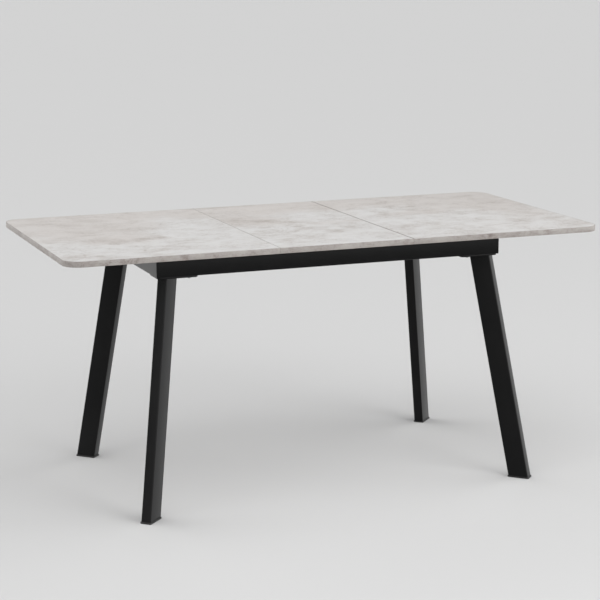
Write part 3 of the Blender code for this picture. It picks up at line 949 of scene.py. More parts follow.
@dataclass(frozen=True)
class Beech:
    """Sanded beech with its grain along one axis."""

    name: str
    axis: Axis
    pale: Colour = (0.60, 0.40, 0.235)
    dark: Colour = (0.42, 0.25, 0.13)
    rings: Pair = (60.0, 2.5)
    flecks: Pair = (420.0, 40.0)

    def build(self, effects: Effects) -> Material:
        """Builds the material.

        Args:
            effects: The shared groups.

        Returns:
            The material.
        """
        finish = Finish(self.name, effects)
        tree, dark = finish.tree, opaque(self.dark)
        rings = tree.noise(tree.stretched(finish.point, self.axis.drawn(*self.rings)), 1.0, 4.0, 0.6, 0.6)
        flecks = tree.noise(tree.stretched(finish.point, self.axis.drawn(*self.flecks)), 1.0, 1.0)
        colour = tree.mix(tree.ramp(rings, 0.3, 0.72), opaque(self.pale), dark)
        colour = tree.mix(tree.math("MULTIPLY", tree.ramp(flecks, 0.60, 0.72), 0.35), colour, dark)
        return finish.set(
            Base_Color=colour, Roughness=0.55,
            Normal=tree.bump(0.25, 0.0001, rings, Normal=finish.grain(0.0009, 0.00004)))


@dataclass(frozen=True)
class FibreSheet:
    """Plain sheet with a fine fibre: the grey melamine under a board, or the dark brown on eased seam
    edges, the laminate's brown inner layer widened as painted shade of the seam gap.
    """

    name: str
    colour: Colour
    fibre: Colour

    def build(self, effects: Effects) -> Material:
        """Builds the material.

        Args:
            effects: The shared groups.

        Returns:
            The material.
        """
        finish = Finish(self.name, effects)
        tree = finish.tree
        fibres = tree.noise(tree.stretched(finish.point, (60, 260, 60)), 1.0, 4.0, 0.7)
        return finish.set(
            Base_Color=tree.mix(tree.ramp(fibres, 0.35, 0.7), opaque(self.colour), opaque(self.fibre)),
            Roughness=0.6, Normal=finish.grain(0.0007, 0.00003))


@dataclass(frozen=True)
class Dress:
    """A piece's finishes, and the slot of the record that they belong to."""

    slot: str
    finishes: tuple[Material, ...]


class Palette:
    """What the table's pieces are dressed in. Each finish is built once."""

    def __init__(self) -> None:
        """Builds the shared effects and the materials."""
        self.effects = Effects()
        self.band = self._dress("edge_band", StoneBand())
        backing = FibreSheet("backing_sheet", (0.42, 0.41, 0.39), (0.36, 0.35, 0.33)).build(self.effects)
        # The dark brown of the eased seam edges: the laminate's inner layer, painted wide as shade of the
        # seam gap.
        core_and_seam_shade = FibreSheet("laminate_core", (0.075, 0.052, 0.038), (0.05, 0.034, 0.026)).build(self.effects)
        self.boards = {
            word: Dress("laminate", (
                StoneLaminate(f"stone_laminate_{word}", *stone).build(self.effects),
                *self.band.finishes, backing, core_and_seam_shade))
            for word, stone in PRINTS.items()}
        self.coat = self._dress("powder_coat", Coating(
            "black_powder_coat", (0.0036, 0.0036, 0.0038), (0.0062, 0.0062, 0.0062), roughness=0.33,
            dulling=0.08, wear=0.6, grain=(0.0011, 0.00012), specular=0.28))
        self.foot = self._dress("black_plastic", Coating(
            "black_foot_plastic", (0.008, 0.008, 0.008), (0.02, 0.02, 0.019)))
        self.stop = self._dress("black_plastic", Coating(
            "grey_stop_plastic", (0.09, 0.09, 0.09), (0.13, 0.13, 0.128)))
        self.zinc = self._dress("zinc_steel", DrawnMetal(
            "zinc_plate", Axis.Z, (0.52, 0.53, 0.54), (0.40, 0.40, 0.38)))
        self.link_zinc = self._dress("zinc_steel", DrawnMetal(
            "zinc_plated_links", Axis.X, (0.50, 0.50, 0.49), (0.40, 0.39, 0.36)))
        self.anodised = self._dress("anodised", DrawnMetal(
            "anodised_slides", Axis.X, (0.60, 0.60, 0.61), (0.50, 0.50, 0.50), 0.36))
        self.beech_long = self._dress("beech", Beech("beech_lengthways", Axis.X))
        self.beech_cross = self._dress("beech", Beech("beech_crossways", Axis.Y))

    def _dress(self, slot: str, finish: StoneBand | Coating | DrawnMetal | Beech) -> Dress:
        """A dress of one finish."""
        return Dress(slot, (finish.build(self.effects),))


# ---------------------------------------------------------------------------------------------
# The table's sub-assemblies
# ---------------------------------------------------------------------------------------------


@dataclass
class SubAssembly:
    """A group of pieces that share a palette."""

    palette: Palette

    @staticmethod
    def settle(form: Form, name: str, dress: Dress, body: str, *stands_for: str) -> None:
        """Makes a form a piece, ties it to its body and hides the frame's nodes that it stands for.

        Args:
            form: The finished shape.
            name: The piece's name.
            dress: Its finishes.
            body: The body that it moves with.
            stands_for: The frame's nodes that it replaces.
        """
        piece = form.made(name, dress.finishes)
        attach(piece, body)
        if stands_for:
            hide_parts(*stands_for)
        LOG.info("%s rides on %s, %d faces", name, body, len(piece.data.polygons))


class Layer(Enum):
    """The finishes of a board, in the order of its dress."""

    PRINT = 0
    BAND = 1
    BACKING = 2
    # The last finish is the dark brown of the eased seam edges: the laminate's inner layer and painted
    # shade of the seam gap.
    CORE = 3


@dataclass
class TableTop(SubAssembly):
    """The two half tops and the leaf, each a laminated board with its edge bands."""

    corner: float = 0.050
    corner_steps: int = 20
    band: float = 0.001
    band_rim: float = 0.0004
    rim: float = 0.0003
    # The seam rims set how wide the dark brown on the seam edges is: painted shade for the seam gap, wider
    # at the right seam.
    left_seam_rim: float = 0.0003
    right_seam_rim: float = 0.0011
    steep: float = 0.7

    def build(self) -> None:
        """Makes the three boards and their bands."""
        for side in Side:
            self._half_board(side)
            self._half_band(side)
        self._leaf_board()
        for edge in Edge:
            self._leaf_band(edge)

    def _ease_seam(self, form: Form, seam: float, side: Side) -> None:
        """Eases a board's edges at a seam and paints the eased faces dark brown: the laminate's brown inner
        layer, and painted shade that widens the seam gap's dark line.

        Args:
            form: The board.
            seam: Where the seam is along the table.
            side: The end of the board that it is at.
        """
        reach = self.left_seam_rim if side is Side.LEFT else self.right_seam_rim
        form.round(form.lines(lambda p: abs(p.x - seam) < NEAR, Axis.Y), reach)
        # Painted shade: the eased seam faces get the dark brown finish, so the seam's dark line is wider
        # than its gap.
        form.paint(Layer.CORE, lambda face: abs(face.calc_center_median().x - seam) < reach)

    def _dress_board(self, form: Form, word: str, body: str, node: str) -> None:
        """Paints a board's faces and settles it.

        Args:
            form: The board.
            word: The board's word in the names of pieces.
            body: The body that it moves with.
            node: The node that it stands for.
        """
        form.paint(Layer.BAND, lambda face: (
            abs(face.normal.z) < self.steep and face.material_index == Layer.PRINT.value))
        form.paint(Layer.BACKING, lambda face: face.normal.z < -self.steep)
        name = "leaf_top" if word == "leaf" else f"{word}_half_top"
        self.settle(form, name, self.palette.boards[word], body, node)

    def _half_board(self, side: Side) -> None:
        """A half top's board, with its outer corners rounded.

        Args:
            side: The half.
        """
        node = f"{side.word}_half_board"
        low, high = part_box(node)
        seam, outer = side.ends(low, high)
        form = Form.block(low, high)
        uprights = form.lines(lambda p: abs(p.x - outer) < NEAR, Axis.Z)
        form.round(uprights, self.corner - self.band, self.corner_steps)
        self._ease_seam(form, seam, side)
        rims = form.lines(lambda p: abs(p.z - high.z) < NEAR / 10 and abs(p.x - seam) > NEAR * 100)
        form.round(rims, self.rim, 2)
        self._dress_board(form, side.word, f"{side.word}_half", node)

    def _half_band(self, side: Side) -> None:
        """The band round a half top's three outer edges.

        Args:
            side: The half.
        """
        node = f"{side.word}_half_edge_band"
        low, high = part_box(node)
        outer = side.ends(low, high)[1]
        form = Form.block(low, high)
        uprights = form.lines(lambda p: abs(p.x - outer) < NEAR, Axis.Z)
        form.round(uprights, self.corner, self.corner_steps)
        form.remove(lambda face: abs(face.normal.z) > 0.9 or face.normal.x * side.value < -0.9)
        form.wall(self.band)
        rims = form.lines(lambda p: abs(p.z - high.z) < NEAR or abs(p.z - low.z) < NEAR)
        form.round(rims, self.band_rim, 2)
        self.settle(form, f"{side.word}_half_band", self.palette.band, f"{side.word}_half", node)

    def _leaf_board(self) -> None:
        """The leaf's board."""
        low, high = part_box("leaf_board")
        form = Form.block(low, high)
        self._ease_seam(form, low.x, Side.LEFT)
        self._ease_seam(form, high.x, Side.RIGHT)
        self._dress_board(form, "leaf", "leaf", "leaf_board")

    def _leaf_band(self, edge: Edge) -> None:
        """The band on one of the leaf's open edges.

        Args:
            edge: The edge.
        """
        node = f"leaf_{edge.word}_edge_band"
        form = Form.block(*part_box(node))
        form.round(form.lines(axis=Axis.X), self.band_rim, 2)
        self.settle(form, f"leaf_{edge.word}_band", self.palette.band, "leaf", node)


@dataclass
class UnderFrame(SubAssembly):
    """The mitred frame of four tubes, its three cross members, and the welds between them."""

    wall: float = 0.0015
    radius: float = 0.0022
    radius_steps: int = 4
    mitre_gap: float = 0.0002
    corner_bead: float = 0.0016
    bead_end: float = 0.0006
    weld: float = 0.0013
    weld_step: float = 0.0016
    fillet_base: float = 0.001

    def __post_init__(self) -> None:
        """Reads the frame's extent from its rails."""
        low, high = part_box("rear_rail")
        self.half_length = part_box("right_end_rail")[1].x
        self.half_width = high.y
        self.rail_width = high.y - low.y
        self.bottom, self.top = low.z, high.z

    def build(self) -> None:
        """Makes the rails, the cross members and the welds."""
        for edge in Edge:
            self._rail(f"{edge.word}_rail", Axis.X, edge.value)
        for side in Side:
            self._rail(f"{side.word}_end_rail", Axis.Y, side.value)
        for edge, side in corners():
            self._corner_weld(edge, side)
        for name in ("left", "centre", "right"):
            self._cross_member(f"{name}_cross_member")

    def _tube(self, node: str, axis: Axis) -> Form:
        """A hollow tube in a node's box, open at its ends.

        Args:
            node: The node.
            axis: The direction that it runs in.

        Returns:
            The tube.
        """
        form = Form.block(*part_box(node))
        form.round(form.lines(axis=axis), self.radius, self.radius_steps)
        form.remove(lambda face: abs(face.normal[axis.value]) > 0.9)
        return form.wall(self.wall)

    def _rail(self, node: str, axis: Axis, outward: int) -> None:
        """One side of the frame, cut at 45 degrees at both ends.

        Args:
            node: The node that it stands for.
            axis: The direction that it runs in.
            outward: The sign of its outer face's direction across that axis.
        """
        across = axis.others()[0]
        reach = self.half_length if axis is Axis.X else self.half_width
        outer = self.half_width if axis is Axis.X else self.half_length

        def mitred(place: Vector) -> Vector:
            """Moves an end point onto the mitre, and back from the very corner.

            Args:
                place: The point.

            Returns:
                Where it goes.
            """
            inward = max(outer - outward * place[across], self.corner_bead)
            moved = place.copy()
            moved[axis.value] = math.copysign(reach - inward - self.mitre_gap, place[axis.value])
            return moved

        form = self._tube(node, axis).bend(mitred)
        self.settle(form, node + "_tube", self.palette.coat, "frame", node)

    def _inside(self, edge: Edge, side: Side, inset: float) -> Vector:
        """The point at an inset from a corner of the frame, at height 0."""
        x, y = self.half_length - inset, self.half_width - inset
        return Vector((side.value * x, edge.value * y, 0.0))

    def _corner_weld(self, edge: Edge, side: Side) -> None:
        """The ground weld at a corner's edge and the bead over the mitre, above and below.

        Args:
            edge: The corner's long edge.
            side: The corner's half.
        """
        centre = self._inside(edge, side, self.corner_bead)
        inner = self._inside(edge, side, self.rail_width)
        radius, ease = self.corner_bead, self.corner_bead * 0.6
        low, high = self.bottom + self.bead_end, self.top - self.bead_end
        form = Form.turned([
            (0, high), (radius - ease, high), (radius, high - ease),
            (radius, low + ease), (radius - ease, low), (0, low)], centre, 24)
        steps = int((inner - centre).length / self.weld_step)
        sunk = self.weld * 0.55
        for height in (self.bottom + sunk, self.top - sunk):
            path = [centre.lerp(inner, i / steps) + UP * height for i in range(steps + 1)]
            form.absorb(Form.swept(path, self.weld, 0.12, False))
        self.settle(form, f"{edge.word}_{side.word}_frame_weld", self.palette.coat, "frame")

    def _cross_member(self, node: str) -> None:
        """A tube across the frame and the fillets that join it to the long rails.

        Args:
            node: The node that it stands for.
        """
        self.settle(self._tube(node, Axis.Y), node + "_tube", self.palette.coat, "frame", node)
        low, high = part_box(node)
        base = low.z + self.fillet_base
        form = Form()
        for end in (low.y, high.y):
            turns = [Vector((x, end, z)) for x, z in (
                (low.x, high.z), (low.x, base), (high.x, base), (high.x, high.z))]
            path: list[Vector] = []
            for start, stop in zip(turns, turns[1:] + turns[:1]):
                steps = max(int((stop - start).length / self.weld_step), 1)
                path += [start.lerp(stop, i / steps) for i in range(steps)]
            form.absorb(Form.swept(path, self.weld, 0.2, True))
        self.settle(form, node + "_welds", self.palette.coat, "frame")


@dataclass
class Legs(SubAssembly):
    """The four leaning legs with their plates, welds, foot caps and bolts."""

    section: Pair = (0.060, 0.030)
    radius: float = 0.003
    wall: float = 0.0015
    plate_chamfer: float = 0.006
    plate_ease: float = 0.0006
    weld: float = 0.0014
    cap_lip: float = 0.0025
    cap_ease: float = 0.0012
    cap_gap: float = 0.0003
    plug_overlap: float = 0.001
    bolt_head: float = 0.0035
    bolt_shank: float = 0.003
    bolt_length: float = 0.018

    def build(self) -> None:
        """Makes every corner's pieces."""
        for edge, side in corners():
            word = f"{edge.word}_{side.word}"
            foot, head = self._axis(f"{word}_leg")
            turn = math.pi / 4 * edge.value * side.value
            self._leg(word, foot, head, turn)
            self._plate(word)
            self._weld(word, foot, head, turn)
            self._cap(word, foot, head, turn)
            for rail in ("long", "end"):
                self._bolt(f"{word}_{rail}_rail_bolt")

    @staticmethod
    def _axis(node: str) -> tuple[Vector, Vector]:
        """The middles of a leg's lower and upper end.

        Args:
            node: The leg's node.

        Returns:
            The lower and the upper middle.
        """
        low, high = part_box(node)
        ends = []
        for height in (low.z, high.z):
            points = {tuple(round(c, 6) for c in v.co) for v in frame["nodes"][node].data.vertices
                      if abs(v.co.z - height) < NEAR}
            xs, ys = [p[0] for p in points], [p[1] for p in points]
            ends.append(Vector(((min(xs) + max(xs)) / 2, (min(ys) + max(ys)) / 2, height)))
        return ends[0], ends[1]

    def _level_size(self, foot: Vector, head: Vector, grow: float = 0.0) -> Pair:
        """The tube's section as a level cut shows it, made larger all round by grow."""
        lean = (head - foot).angle(UP)
        return self.section[0] / math.cos(lean) + 2 * grow, self.section[1] + 2 * grow

    @staticmethod
    def _column(size: Pair, low: float, high: float) -> Form:
        """An upright box round the Z axis."""
        half = Vector((size[0] / 2, size[1] / 2, 0.0))
        return Form.block(-half + UP * low, half + UP * high)

    @staticmethod
    def _leaning(foot: Vector, head: Vector) -> Callable[[Vector], Vector]:
        """A rule that leans upright points along the leg's axis.

        Args:
            foot: The axis's lower end.
            head: Its upper end.

        Returns:
            The rule.
        """
        slope = (head - foot) / (head.z - foot.z)

        def rule(place: Vector) -> Vector:
            """Moves a point sideways with its height."""
            return Vector((place.x, place.y, 0.0)) + foot + slope * (place.z - foot.z)

        return rule

    def _leg(self, word: str, foot: Vector, head: Vector, turn: float) -> None:
        """A rectangular tube with its long side along the diagonal.

        Args:
            word: The corner's word.
            foot: The lower end of the leg's axis.
            head: The upper end.
            turn: How far the section is turned from the X axis.
        """
        form = self._column(self._level_size(foot, head), foot.z, head.z)
        form.round(form.lines(axis=Axis.Z), self.radius, 5)
        form.remove(lambda face: abs(face.normal.z) > 0.9).wall(self.wall)
        form.turn(turn).bend(self._leaning(foot, head))
        self.settle(form, f"{word}_leg_tube", self.palette.coat, "frame", f"{word}_leg")

    def _plate(self, word: str) -> None:
        """The plate between a leg and the frame.

        Args:
            word: The corner's word.
        """
        form = Form.block(*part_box(f"{word}_leg_plate"))
        form.round(form.lines(axis=Axis.Z), self.plate_chamfer, 1).ease(self.plate_ease)
        self.settle(form, f"{word}_plate", self.palette.coat, "frame", f"{word}_leg_plate")

    def _weld(self, word: str, foot: Vector, head: Vector, turn: float) -> None:
        """The fillet round a leg's upper end.

        Args:
            word: The corner's word.
            foot: The lower end of the leg's axis.
            head: The upper end.
            turn: How far the section is turned from the X axis.
        """
        size = self._level_size(foot, head, self.weld * 0.2)
        spin = Matrix.Rotation(turn, 3, "Z")
        ring = [spin @ place + head for place in smooth_ring(size, self.radius, 14)]
        form = Form.swept(ring, self.weld, 0.16, True)
        self.settle(form, f"{word}_leg_weld", self.palette.coat, "frame")

    def _cap(self, word: str, foot: Vector, head: Vector, turn: float) -> None:
        """The foot cap: a lip under the tube, and the plug inside it.

        Args:
            word: The corner's word.
            foot: The lower end of the leg's axis.
            head: The upper end.
            turn: How far the section is turned from the X axis.
        """
        top = foot.z - self.cap_gap
        form = self._column(self._level_size(foot, head, self.cap_lip), 0.0, top)
        form.round(form.lines(axis=Axis.Z), self.radius + self.cap_lip, 6)
        form.round(form.lines(lambda p: p.z > top - NEAR), self.cap_ease, 3)
        form.round(form.lines(lambda p: p.z < NEAR), self.cap_ease * 0.6, 2)
        size = self._level_size(foot, head, -self.wall - self.cap_gap)
        plug = self._column(size, top - self.plug_overlap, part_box(f"{word}_foot_cap")[1].z)
        plug.round(plug.lines(axis=Axis.Z), self.radius - self.wall, 3)
        form.absorb(plug).turn(turn).bend(self._leaning(foot, head))
        self.settle(form, f"{word}_foot", self.palette.foot, "frame", f"{word}_foot_cap")

    def _bolt(self, node: str) -> None:
        """A button-head bolt with a hexagon socket, its head downward.

        Args:
            node: The node that it stands for.
        """
        low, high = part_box(node)
        middle = (low + high) / 2
        bolt = Fastener((high.x - low.x) / 2, self.bolt_shank, self.bolt_length, self.bolt_head)
        form = bolt.form(Vector((middle.x, middle.y, low.z + self.bolt_head)), Facing.DOWN)
        self.settle(form, node + "_steel", self.palette.zinc, "frame", node)


@dataclass(frozen=True)
class Fastener:
    """A button-head screw: a domed head with a hexagon socket, on a round shank.

    The last three sizes are shares: of the head's radius that half the socket and the flat's rim
    take, and of the head's height that the socket is deep.
    """

    radius: float
    shank: float
    length: float
    head: float
    steps: int = 24
    socket: float = 0.38
    rim: float = 0.1
    depth: float = 0.6

    def form(self, seat: Vector, facing: Facing) -> Form:
        """The fastener's shape.

        Args:
            seat: The middle of the face that its head rests on.
            facing: Which way its head looks.

        Returns:
            The new form.
        """
        dome = [(self.radius * math.cos(a), self.head * (0.25 + 0.75 * math.sin(a)))
                for a in (TAU / 4 * i / 6 for i in range(5))]
        flat = dome[-1]
        form = Form.turned([
            (0, flat[1]), *reversed(dome), (self.radius, 0), (self.shank, 0),
            (self.shank, -self.length + self.shank * 0.3), (self.shank * 0.7, -self.length),
            (0, -self.length)], ORIGIN, self.steps)
        mesh = form.mesh
        cap = [face for face in mesh.faces if all(abs(v.co.z - flat[1]) < 1e-7 for v in face.verts)]
        merged = bmesh.ops.dissolve_faces(mesh, faces=cap)["region"]
        bmesh.ops.inset_region(mesh, faces=merged, thickness=flat[0] * self.rim)
        key = merged[0]
        for vert in key.verts:
            angle = math.atan2(vert.co.y, vert.co.x)
            reach = self.radius * self.socket / math.cos((angle + TAU / 12) % (TAU / 6) - TAU / 12)
            vert.co.x, vert.co.y = reach * math.cos(angle), reach * math.sin(angle)
        grown = bmesh.ops.extrude_face_region(mesh, geom=[key])["geom"]
        moved = [item for item in grown if isinstance(item, MeshVert)]
        bmesh.ops.translate(mesh, vec=-UP * self.head * self.depth, verts=moved)
        if facing is Facing.DOWN:
            bmesh.ops.rotate(mesh, cent=ORIGIN, matrix=Matrix.Rotation(math.pi, 3, "X"), verts=mesh.verts)
        return form.move(seat)


WOOD_SCREW = Fastener(radius=0.004, shank=0.002, length=0.012, head=0.0018)
PLATE_SCREW = Fastener(radius=0.0032, shank=0.0016, length=0.006, head=0.0014)


@dataclass
class Slides(SubAssembly):
    """The fixed bars along the frame and the channels under the half tops."""

    base: float = 0.010
    base_thick: float = 0.002
    web: float = 0.002
    head: float = 0.006
    gap: float = 0.0004
    wall: float = 0.0025
    ease: float = 0.0003
    cap_thick: float = 0.003
    cap_ease: float = 0.0012

    def build(self) -> None:
        """Makes the six extrusions and their end caps."""
        for edge in Edge:
            self._fixed(edge)
            for side in Side:
                self._moving(edge, side)

    def _extrusion(self, half: list[Pair], low: Vector, high: Vector) -> Form:
        """A bar along X whose section is a half outline and its mirror image.

        Args:
            half: Points of the outline, as distances from its middle and heights.
            low: The bar's lowest corner.
            high: Its highest corner.

        Returns:
            The bar.
        """
        middle = (low.y + high.y) / 2
        outline = [(middle + y, z) for y, z in half] + [(middle - y, z) for y, z in reversed(half)]
        return Form.profile(outline, Axis.X, low.x, high.x).ease(self.ease)

    def _fixed(self, edge: Edge) -> None:
        """The headed bar on a long rail.

        Args:
            edge: The rail's edge of the table.
        """
        node = f"{edge.word}_fixed_slide"
        low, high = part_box(node)
        neck = low.z + self.base_thick
        head_low = neck + 2 * self.gap + self.wall
        half = [(self.base, low.z), (self.base, neck), (self.web, neck), (self.web, head_low),
                (self.head, head_low), (self.head, high.z)]
        form = self._extrusion(half, low, high)
        self.settle(form, node + "_bar", self.palette.anodised, "frame", node)

    def _moving(self, edge: Edge, side: Side) -> None:
        """The channel under a half top.

        Args:
            edge: The edge of the table that it runs along.
            side: The half.
        """
        node = f"{side.word}_{edge.word}_slide"
        low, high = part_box(node)
        inside = self.head + self.gap
        outside = inside + self.wall
        lip = self.web + self.gap
        roof = high.z - self.wall
        half = [(outside, high.z), (outside, low.z), (lip, low.z), (lip, low.z + self.wall),
                (inside, low.z + self.wall), (inside, roof)]
        form = self._extrusion(half, low, high)
        self.settle(form, node + "_channel", self.palette.anodised, f"{side.word}_half", node)
        middle = (low.y + high.y) / 2
        outer = side.ends(low, high)[1]
        near, far = sorted((outer, outer + side.value * self.cap_thick))
        cap = Form.block(
            Vector((near, middle - outside, low.z)), Vector((far, middle + outside, high.z)))
        cap.ease(self.cap_ease, 3)
        self.settle(cap, node + "_end_cap", self.palette.stop, f"{side.word}_half")


@dataclass
class Timber(SubAssembly):
    """The leaf's bearers and the battens under the half tops, with their screws."""

    ease: float = 0.0018
    batten_screws: int = 4

    def build(self) -> None:
        """Makes the wooden bars and their screws."""
        for edge in Edge:
            node = f"{edge.word}_leaf_bearer"
            self._bar(node, "frame", self.palette.beech_long)
            self._bearer_screws(edge, node)
        for side in Side:
            node = f"{side.word}_half_batten"
            self._bar(node, f"{side.word}_half", self.palette.beech_cross)
            self._batten_screws(side, node)

    def _bar(self, node: str, body: str, wood: Dress) -> None:
        """A planed bar with rounded edges."""
        self.settle(Form.block(*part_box(node)).ease(self.ease, 4), node + "_bar", wood, body, node)

    def _screws(self, name: str, body: str, seats: Iterable[Vector]) -> None:
        """A row of screws as one piece.

        Args:
            name: The piece's name.
            body: The body that it moves with.
            seats: Where their heads rest.
        """
        form = Form()
        for seat in seats:
            form.absorb(WOOD_SCREW.form(seat, Facing.DOWN))
        self.settle(form, name, self.palette.zinc, body)

    def _bearer_screws(self, edge: Edge, node: str) -> None:
        """The screws up through the outer cross members into a bearer.

        Args:
            edge: The bearer's edge of the table.
            node: The bearer's node.
        """
        low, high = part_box(node)
        beams = [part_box(f"{side.word}_cross_member") for side in Side]
        seats = [Vector(((start.x + end.x) / 2, (low.y + high.y) / 2, start.z)) for start, end in beams]
        self._screws(f"{edge.word}_bearer_screws", "frame", seats)

    def _batten_screws(self, side: Side, node: str) -> None:
        """The screws up through a batten into the board.

        Args:
            side: The half.
            node: The batten's node.
        """
        low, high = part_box(node)
        spacing = (high.y - low.y) / self.batten_screws
        seats = [Vector(((low.x + high.x) / 2, low.y + spacing * (i + 0.5), low.z))
                 for i in range(self.batten_screws)]
        self._screws(f"{side.word}_batten_screws", f"{side.word}_half", seats)


@dataclass
class Synchroniser(SubAssembly):
    """The rocker, rods and brackets that make the halves move by equal amounts."""

    ease: float = 0.0005
    cut: float = 0.0004
    rocker_width: float = 0.022
    rod_width: float = 0.018
    pin: float = 0.004
    pin_head: float = 0.0015
    stud_neck: float = 0.005
    stud_chamfer: float = 0.0008
    stud_foot: Pair = (0.0026, 0.0022)
    plate_corner: float = 0.004
    plate_screw_inset: float = 0.006
    sheet: float = 0.003
    bend: float = 0.003
    tongue: float = 0.027
    bracket_screw_inset: Pair = (0.010, 0.008)

    def __post_init__(self) -> None:
        """Reads the joints' axes."""
        self.axes = {joint["name"]: Vector(joint["pos_m"]) for joint in frame["joints"] if "pos_m" in joint}

    def build(self) -> None:
        """Makes the mechanism's pieces."""
        self._plate()
        self._stud(self.axes["rocker_turn"])
        left, right = (self.axes[f"{side.word}_rod_turn"] for side in Side)
        self._link("rocker", left, right, self.rocker_width)
        for side in Side:
            arm, hold = self.axes[f"{side.word}_rod_turn"], self.axes[f"{side.word}_half_hold"]
            self._link(f"{side.word}_rod", arm, hold, self.rod_width)
            self._pin(f"{side.word}_rocker_pin", "rocker", arm, Facing.DOWN)
            self._pin(f"{side.word}_bracket_pin", f"{side.word}_half", hold, Facing.UP)
            self._bracket(side)

    def _plate(self) -> None:
        """The pivot's base plate with its four screws."""
        low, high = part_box("pivot_plate")
        form = Form.block(low, high)
        form.round(form.lines(axis=Axis.Z), self.plate_corner, 5).ease(self.cut)
        self.settle(form, "pivot_base", self.palette.zinc, "frame", "pivot_plate")
        reach_x, reach_y = high.x - self.plate_screw_inset, high.y - self.plate_screw_inset
        screws = Form()
        for sx in (-1, 1):
            for sy in (-1, 1):
                screws.absorb(PLATE_SCREW.form(Vector((sx * reach_x, sy * reach_y, high.z)), Facing.UP))
        self.settle(screws, "pivot_base_screws", self.palette.zinc, "frame")

    def _stud(self, centre: Vector) -> None:
        """The shouldered pin that the rocker turns on.

        Args:
            centre: A point on its axis.
        """
        low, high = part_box("rocker_pivot_pin")
        shoulder, cut = (high.x - low.x) / 2, self.cut
        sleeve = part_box("rocker")[0].z - cut
        neck, chamfer = self.stud_neck, self.stud_chamfer
        foot_high, foot_low = self.stud_foot
        form = Form.turned([
            (0, high.z), (neck - chamfer, high.z), (neck, high.z - chamfer), (neck, sleeve),
            (shoulder - cut, sleeve), (shoulder, sleeve - cut), (shoulder, low.z + foot_high),
            (self.pin, low.z + foot_low), (self.pin, low.z), (0, low.z)], Vector((centre.x, centre.y, 0)))
        self.settle(form, "pivot_stud", self.palette.zinc, "frame", "rocker_pivot_pin")

    def _link(self, body: str, start: Vector, end: Vector, width: float) -> None:
        """A flat bar with round ends about two axes.

        Args:
            body: The body that it is, and its node.
            start: A point on the first axis.
            end: A point on the second axis.
            width: The bar's width.
        """
        low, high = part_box(body)
        along = Vector((end.x - start.x, end.y - start.y, 0))
        half = Vector((along.length / 2 + width / 2, width / 2, 0))
        form = Form.block(-half + UP * low.z, half + UP * high.z)
        form.round(form.lines(axis=Axis.Z), width / 2 - 0.00005, 12).ease(self.ease)
        form.turn(math.atan2(along.y, along.x))
        form.move(Vector(((start.x + end.x) / 2, (start.y + end.y) / 2, 0)))
        self.settle(form, f"{body}_bar", self.palette.link_zinc, body, body)

    def _pin(self, node: str, body: str, centre: Vector, head: Facing) -> None:
        """A headed pin with chamfered ends.

        Args:
            node: The node that it stands for.
            body: The body that it rides on.
            centre: A point on its axis.
            head: The end that its head is at.
        """
        low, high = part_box(node)
        wide, pin, cut = (high.x - low.x) / 2, self.pin, self.cut
        if head is Facing.UP:
            under = high.z - self.pin_head
            outline = [(0, high.z), (wide - cut, high.z), (wide, high.z - cut), (wide, under),
                       (pin, under), (pin, low.z + cut), (pin - cut, low.z), (0, low.z)]
        else:
            over = low.z + self.pin_head
            outline = [(0, high.z), (pin - cut, high.z), (pin, high.z - cut), (pin, over),
                       (wide, over), (wide, low.z + cut), (wide - cut, low.z), (0, low.z)]
        form = Form.turned(outline, Vector((centre.x, centre.y, 0)))
        self.settle(form, node + "_turned", self.palette.zinc, body, node)

    def _bracket(self, side: Side) -> None:
        """The bent bracket under a half top and its two screws.

        Args:
            side: The half.
        """
        node = f"{side.word}_half_bracket"
        low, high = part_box(node)
        near, far = side.ends(low, high)
        web = self.axes[f"{side.word}_half_hold"].x + side.value * self.tongue
        back, sheet = web + side.value * self.sheet, self.sheet
        form = Form.profile([
            (near, low.z), (back, low.z), (back, high.z - sheet), (far, high.z - sheet), (far, high.z),
            (web, high.z), (web, low.z + sheet), (near, low.z + sheet)], Axis.Y, low.y, high.y)
        outer_bends = form.lines(lambda p: min(
            abs(p.x - back) + abs(p.z - low.z), abs(p.x - web) + abs(p.z - high.z)) < NEAR, Axis.Y)
        form.round(outer_bends, self.bend, 5).ease(self.ease)
        self.settle(form, node + "_bent", self.palette.link_zinc, f"{side.word}_half", node)
        inset_x, inset_y = self.bracket_screw_inset
        screws = Form()
        for y in (low.y + inset_y, high.y - inset_y):
            seat = Vector((far - side.value * inset_x, y, high.z - sheet))
            screws.absorb(WOOD_SCREW.form(seat, Facing.DOWN))
        self.settle(screws, f"{side.word}_bracket_screws", self.palette.zinc, f"{side.word}_half")


# ---------------------------------------------------------------------------------------------
# The studio
# ---------------------------------------------------------------------------------------------


@dataclass
class View:
    """The camera's place, aim and lens."""

    place: Triple = (-1.9153, -5.0778, 1.5963)
    yaw: float = 0.3619
    pitch: float = -0.1965
    roll: float = -0.0060
    lens: float = 110.74

    def build(self) -> None:
        """Makes the camera and gives it to the scene."""
        ahead = Vector((
            math.sin(self.yaw) * math.cos(self.pitch), math.cos(self.yaw) * math.cos(self.pitch),
            math.sin(self.pitch)))
        right = Vector((math.cos(self.yaw), -math.sin(self.yaw), 0.0))
        above = right.cross(ahead)
        right, above = (
            math.cos(self.roll) * right + math.sin(self.roll) * above,
            -math.sin(self.roll) * right + math.cos(self.roll) * above)
        data = bpy.data.cameras.new("studio_camera")
        data.lens, data.sensor_width = self.lens, 36.0
        data.clip_start, data.clip_end = 0.05, 500.0
        camera = bpy.data.objects.new("studio_camera", data)
        bpy.context.scene.collection.objects.link(camera)
        turn = Matrix((right, above, -ahead)).transposed()
        camera.matrix_world = Matrix.Translation(self.place) @ turn.to_4x4()
        bpy.context.scene.camera = camera


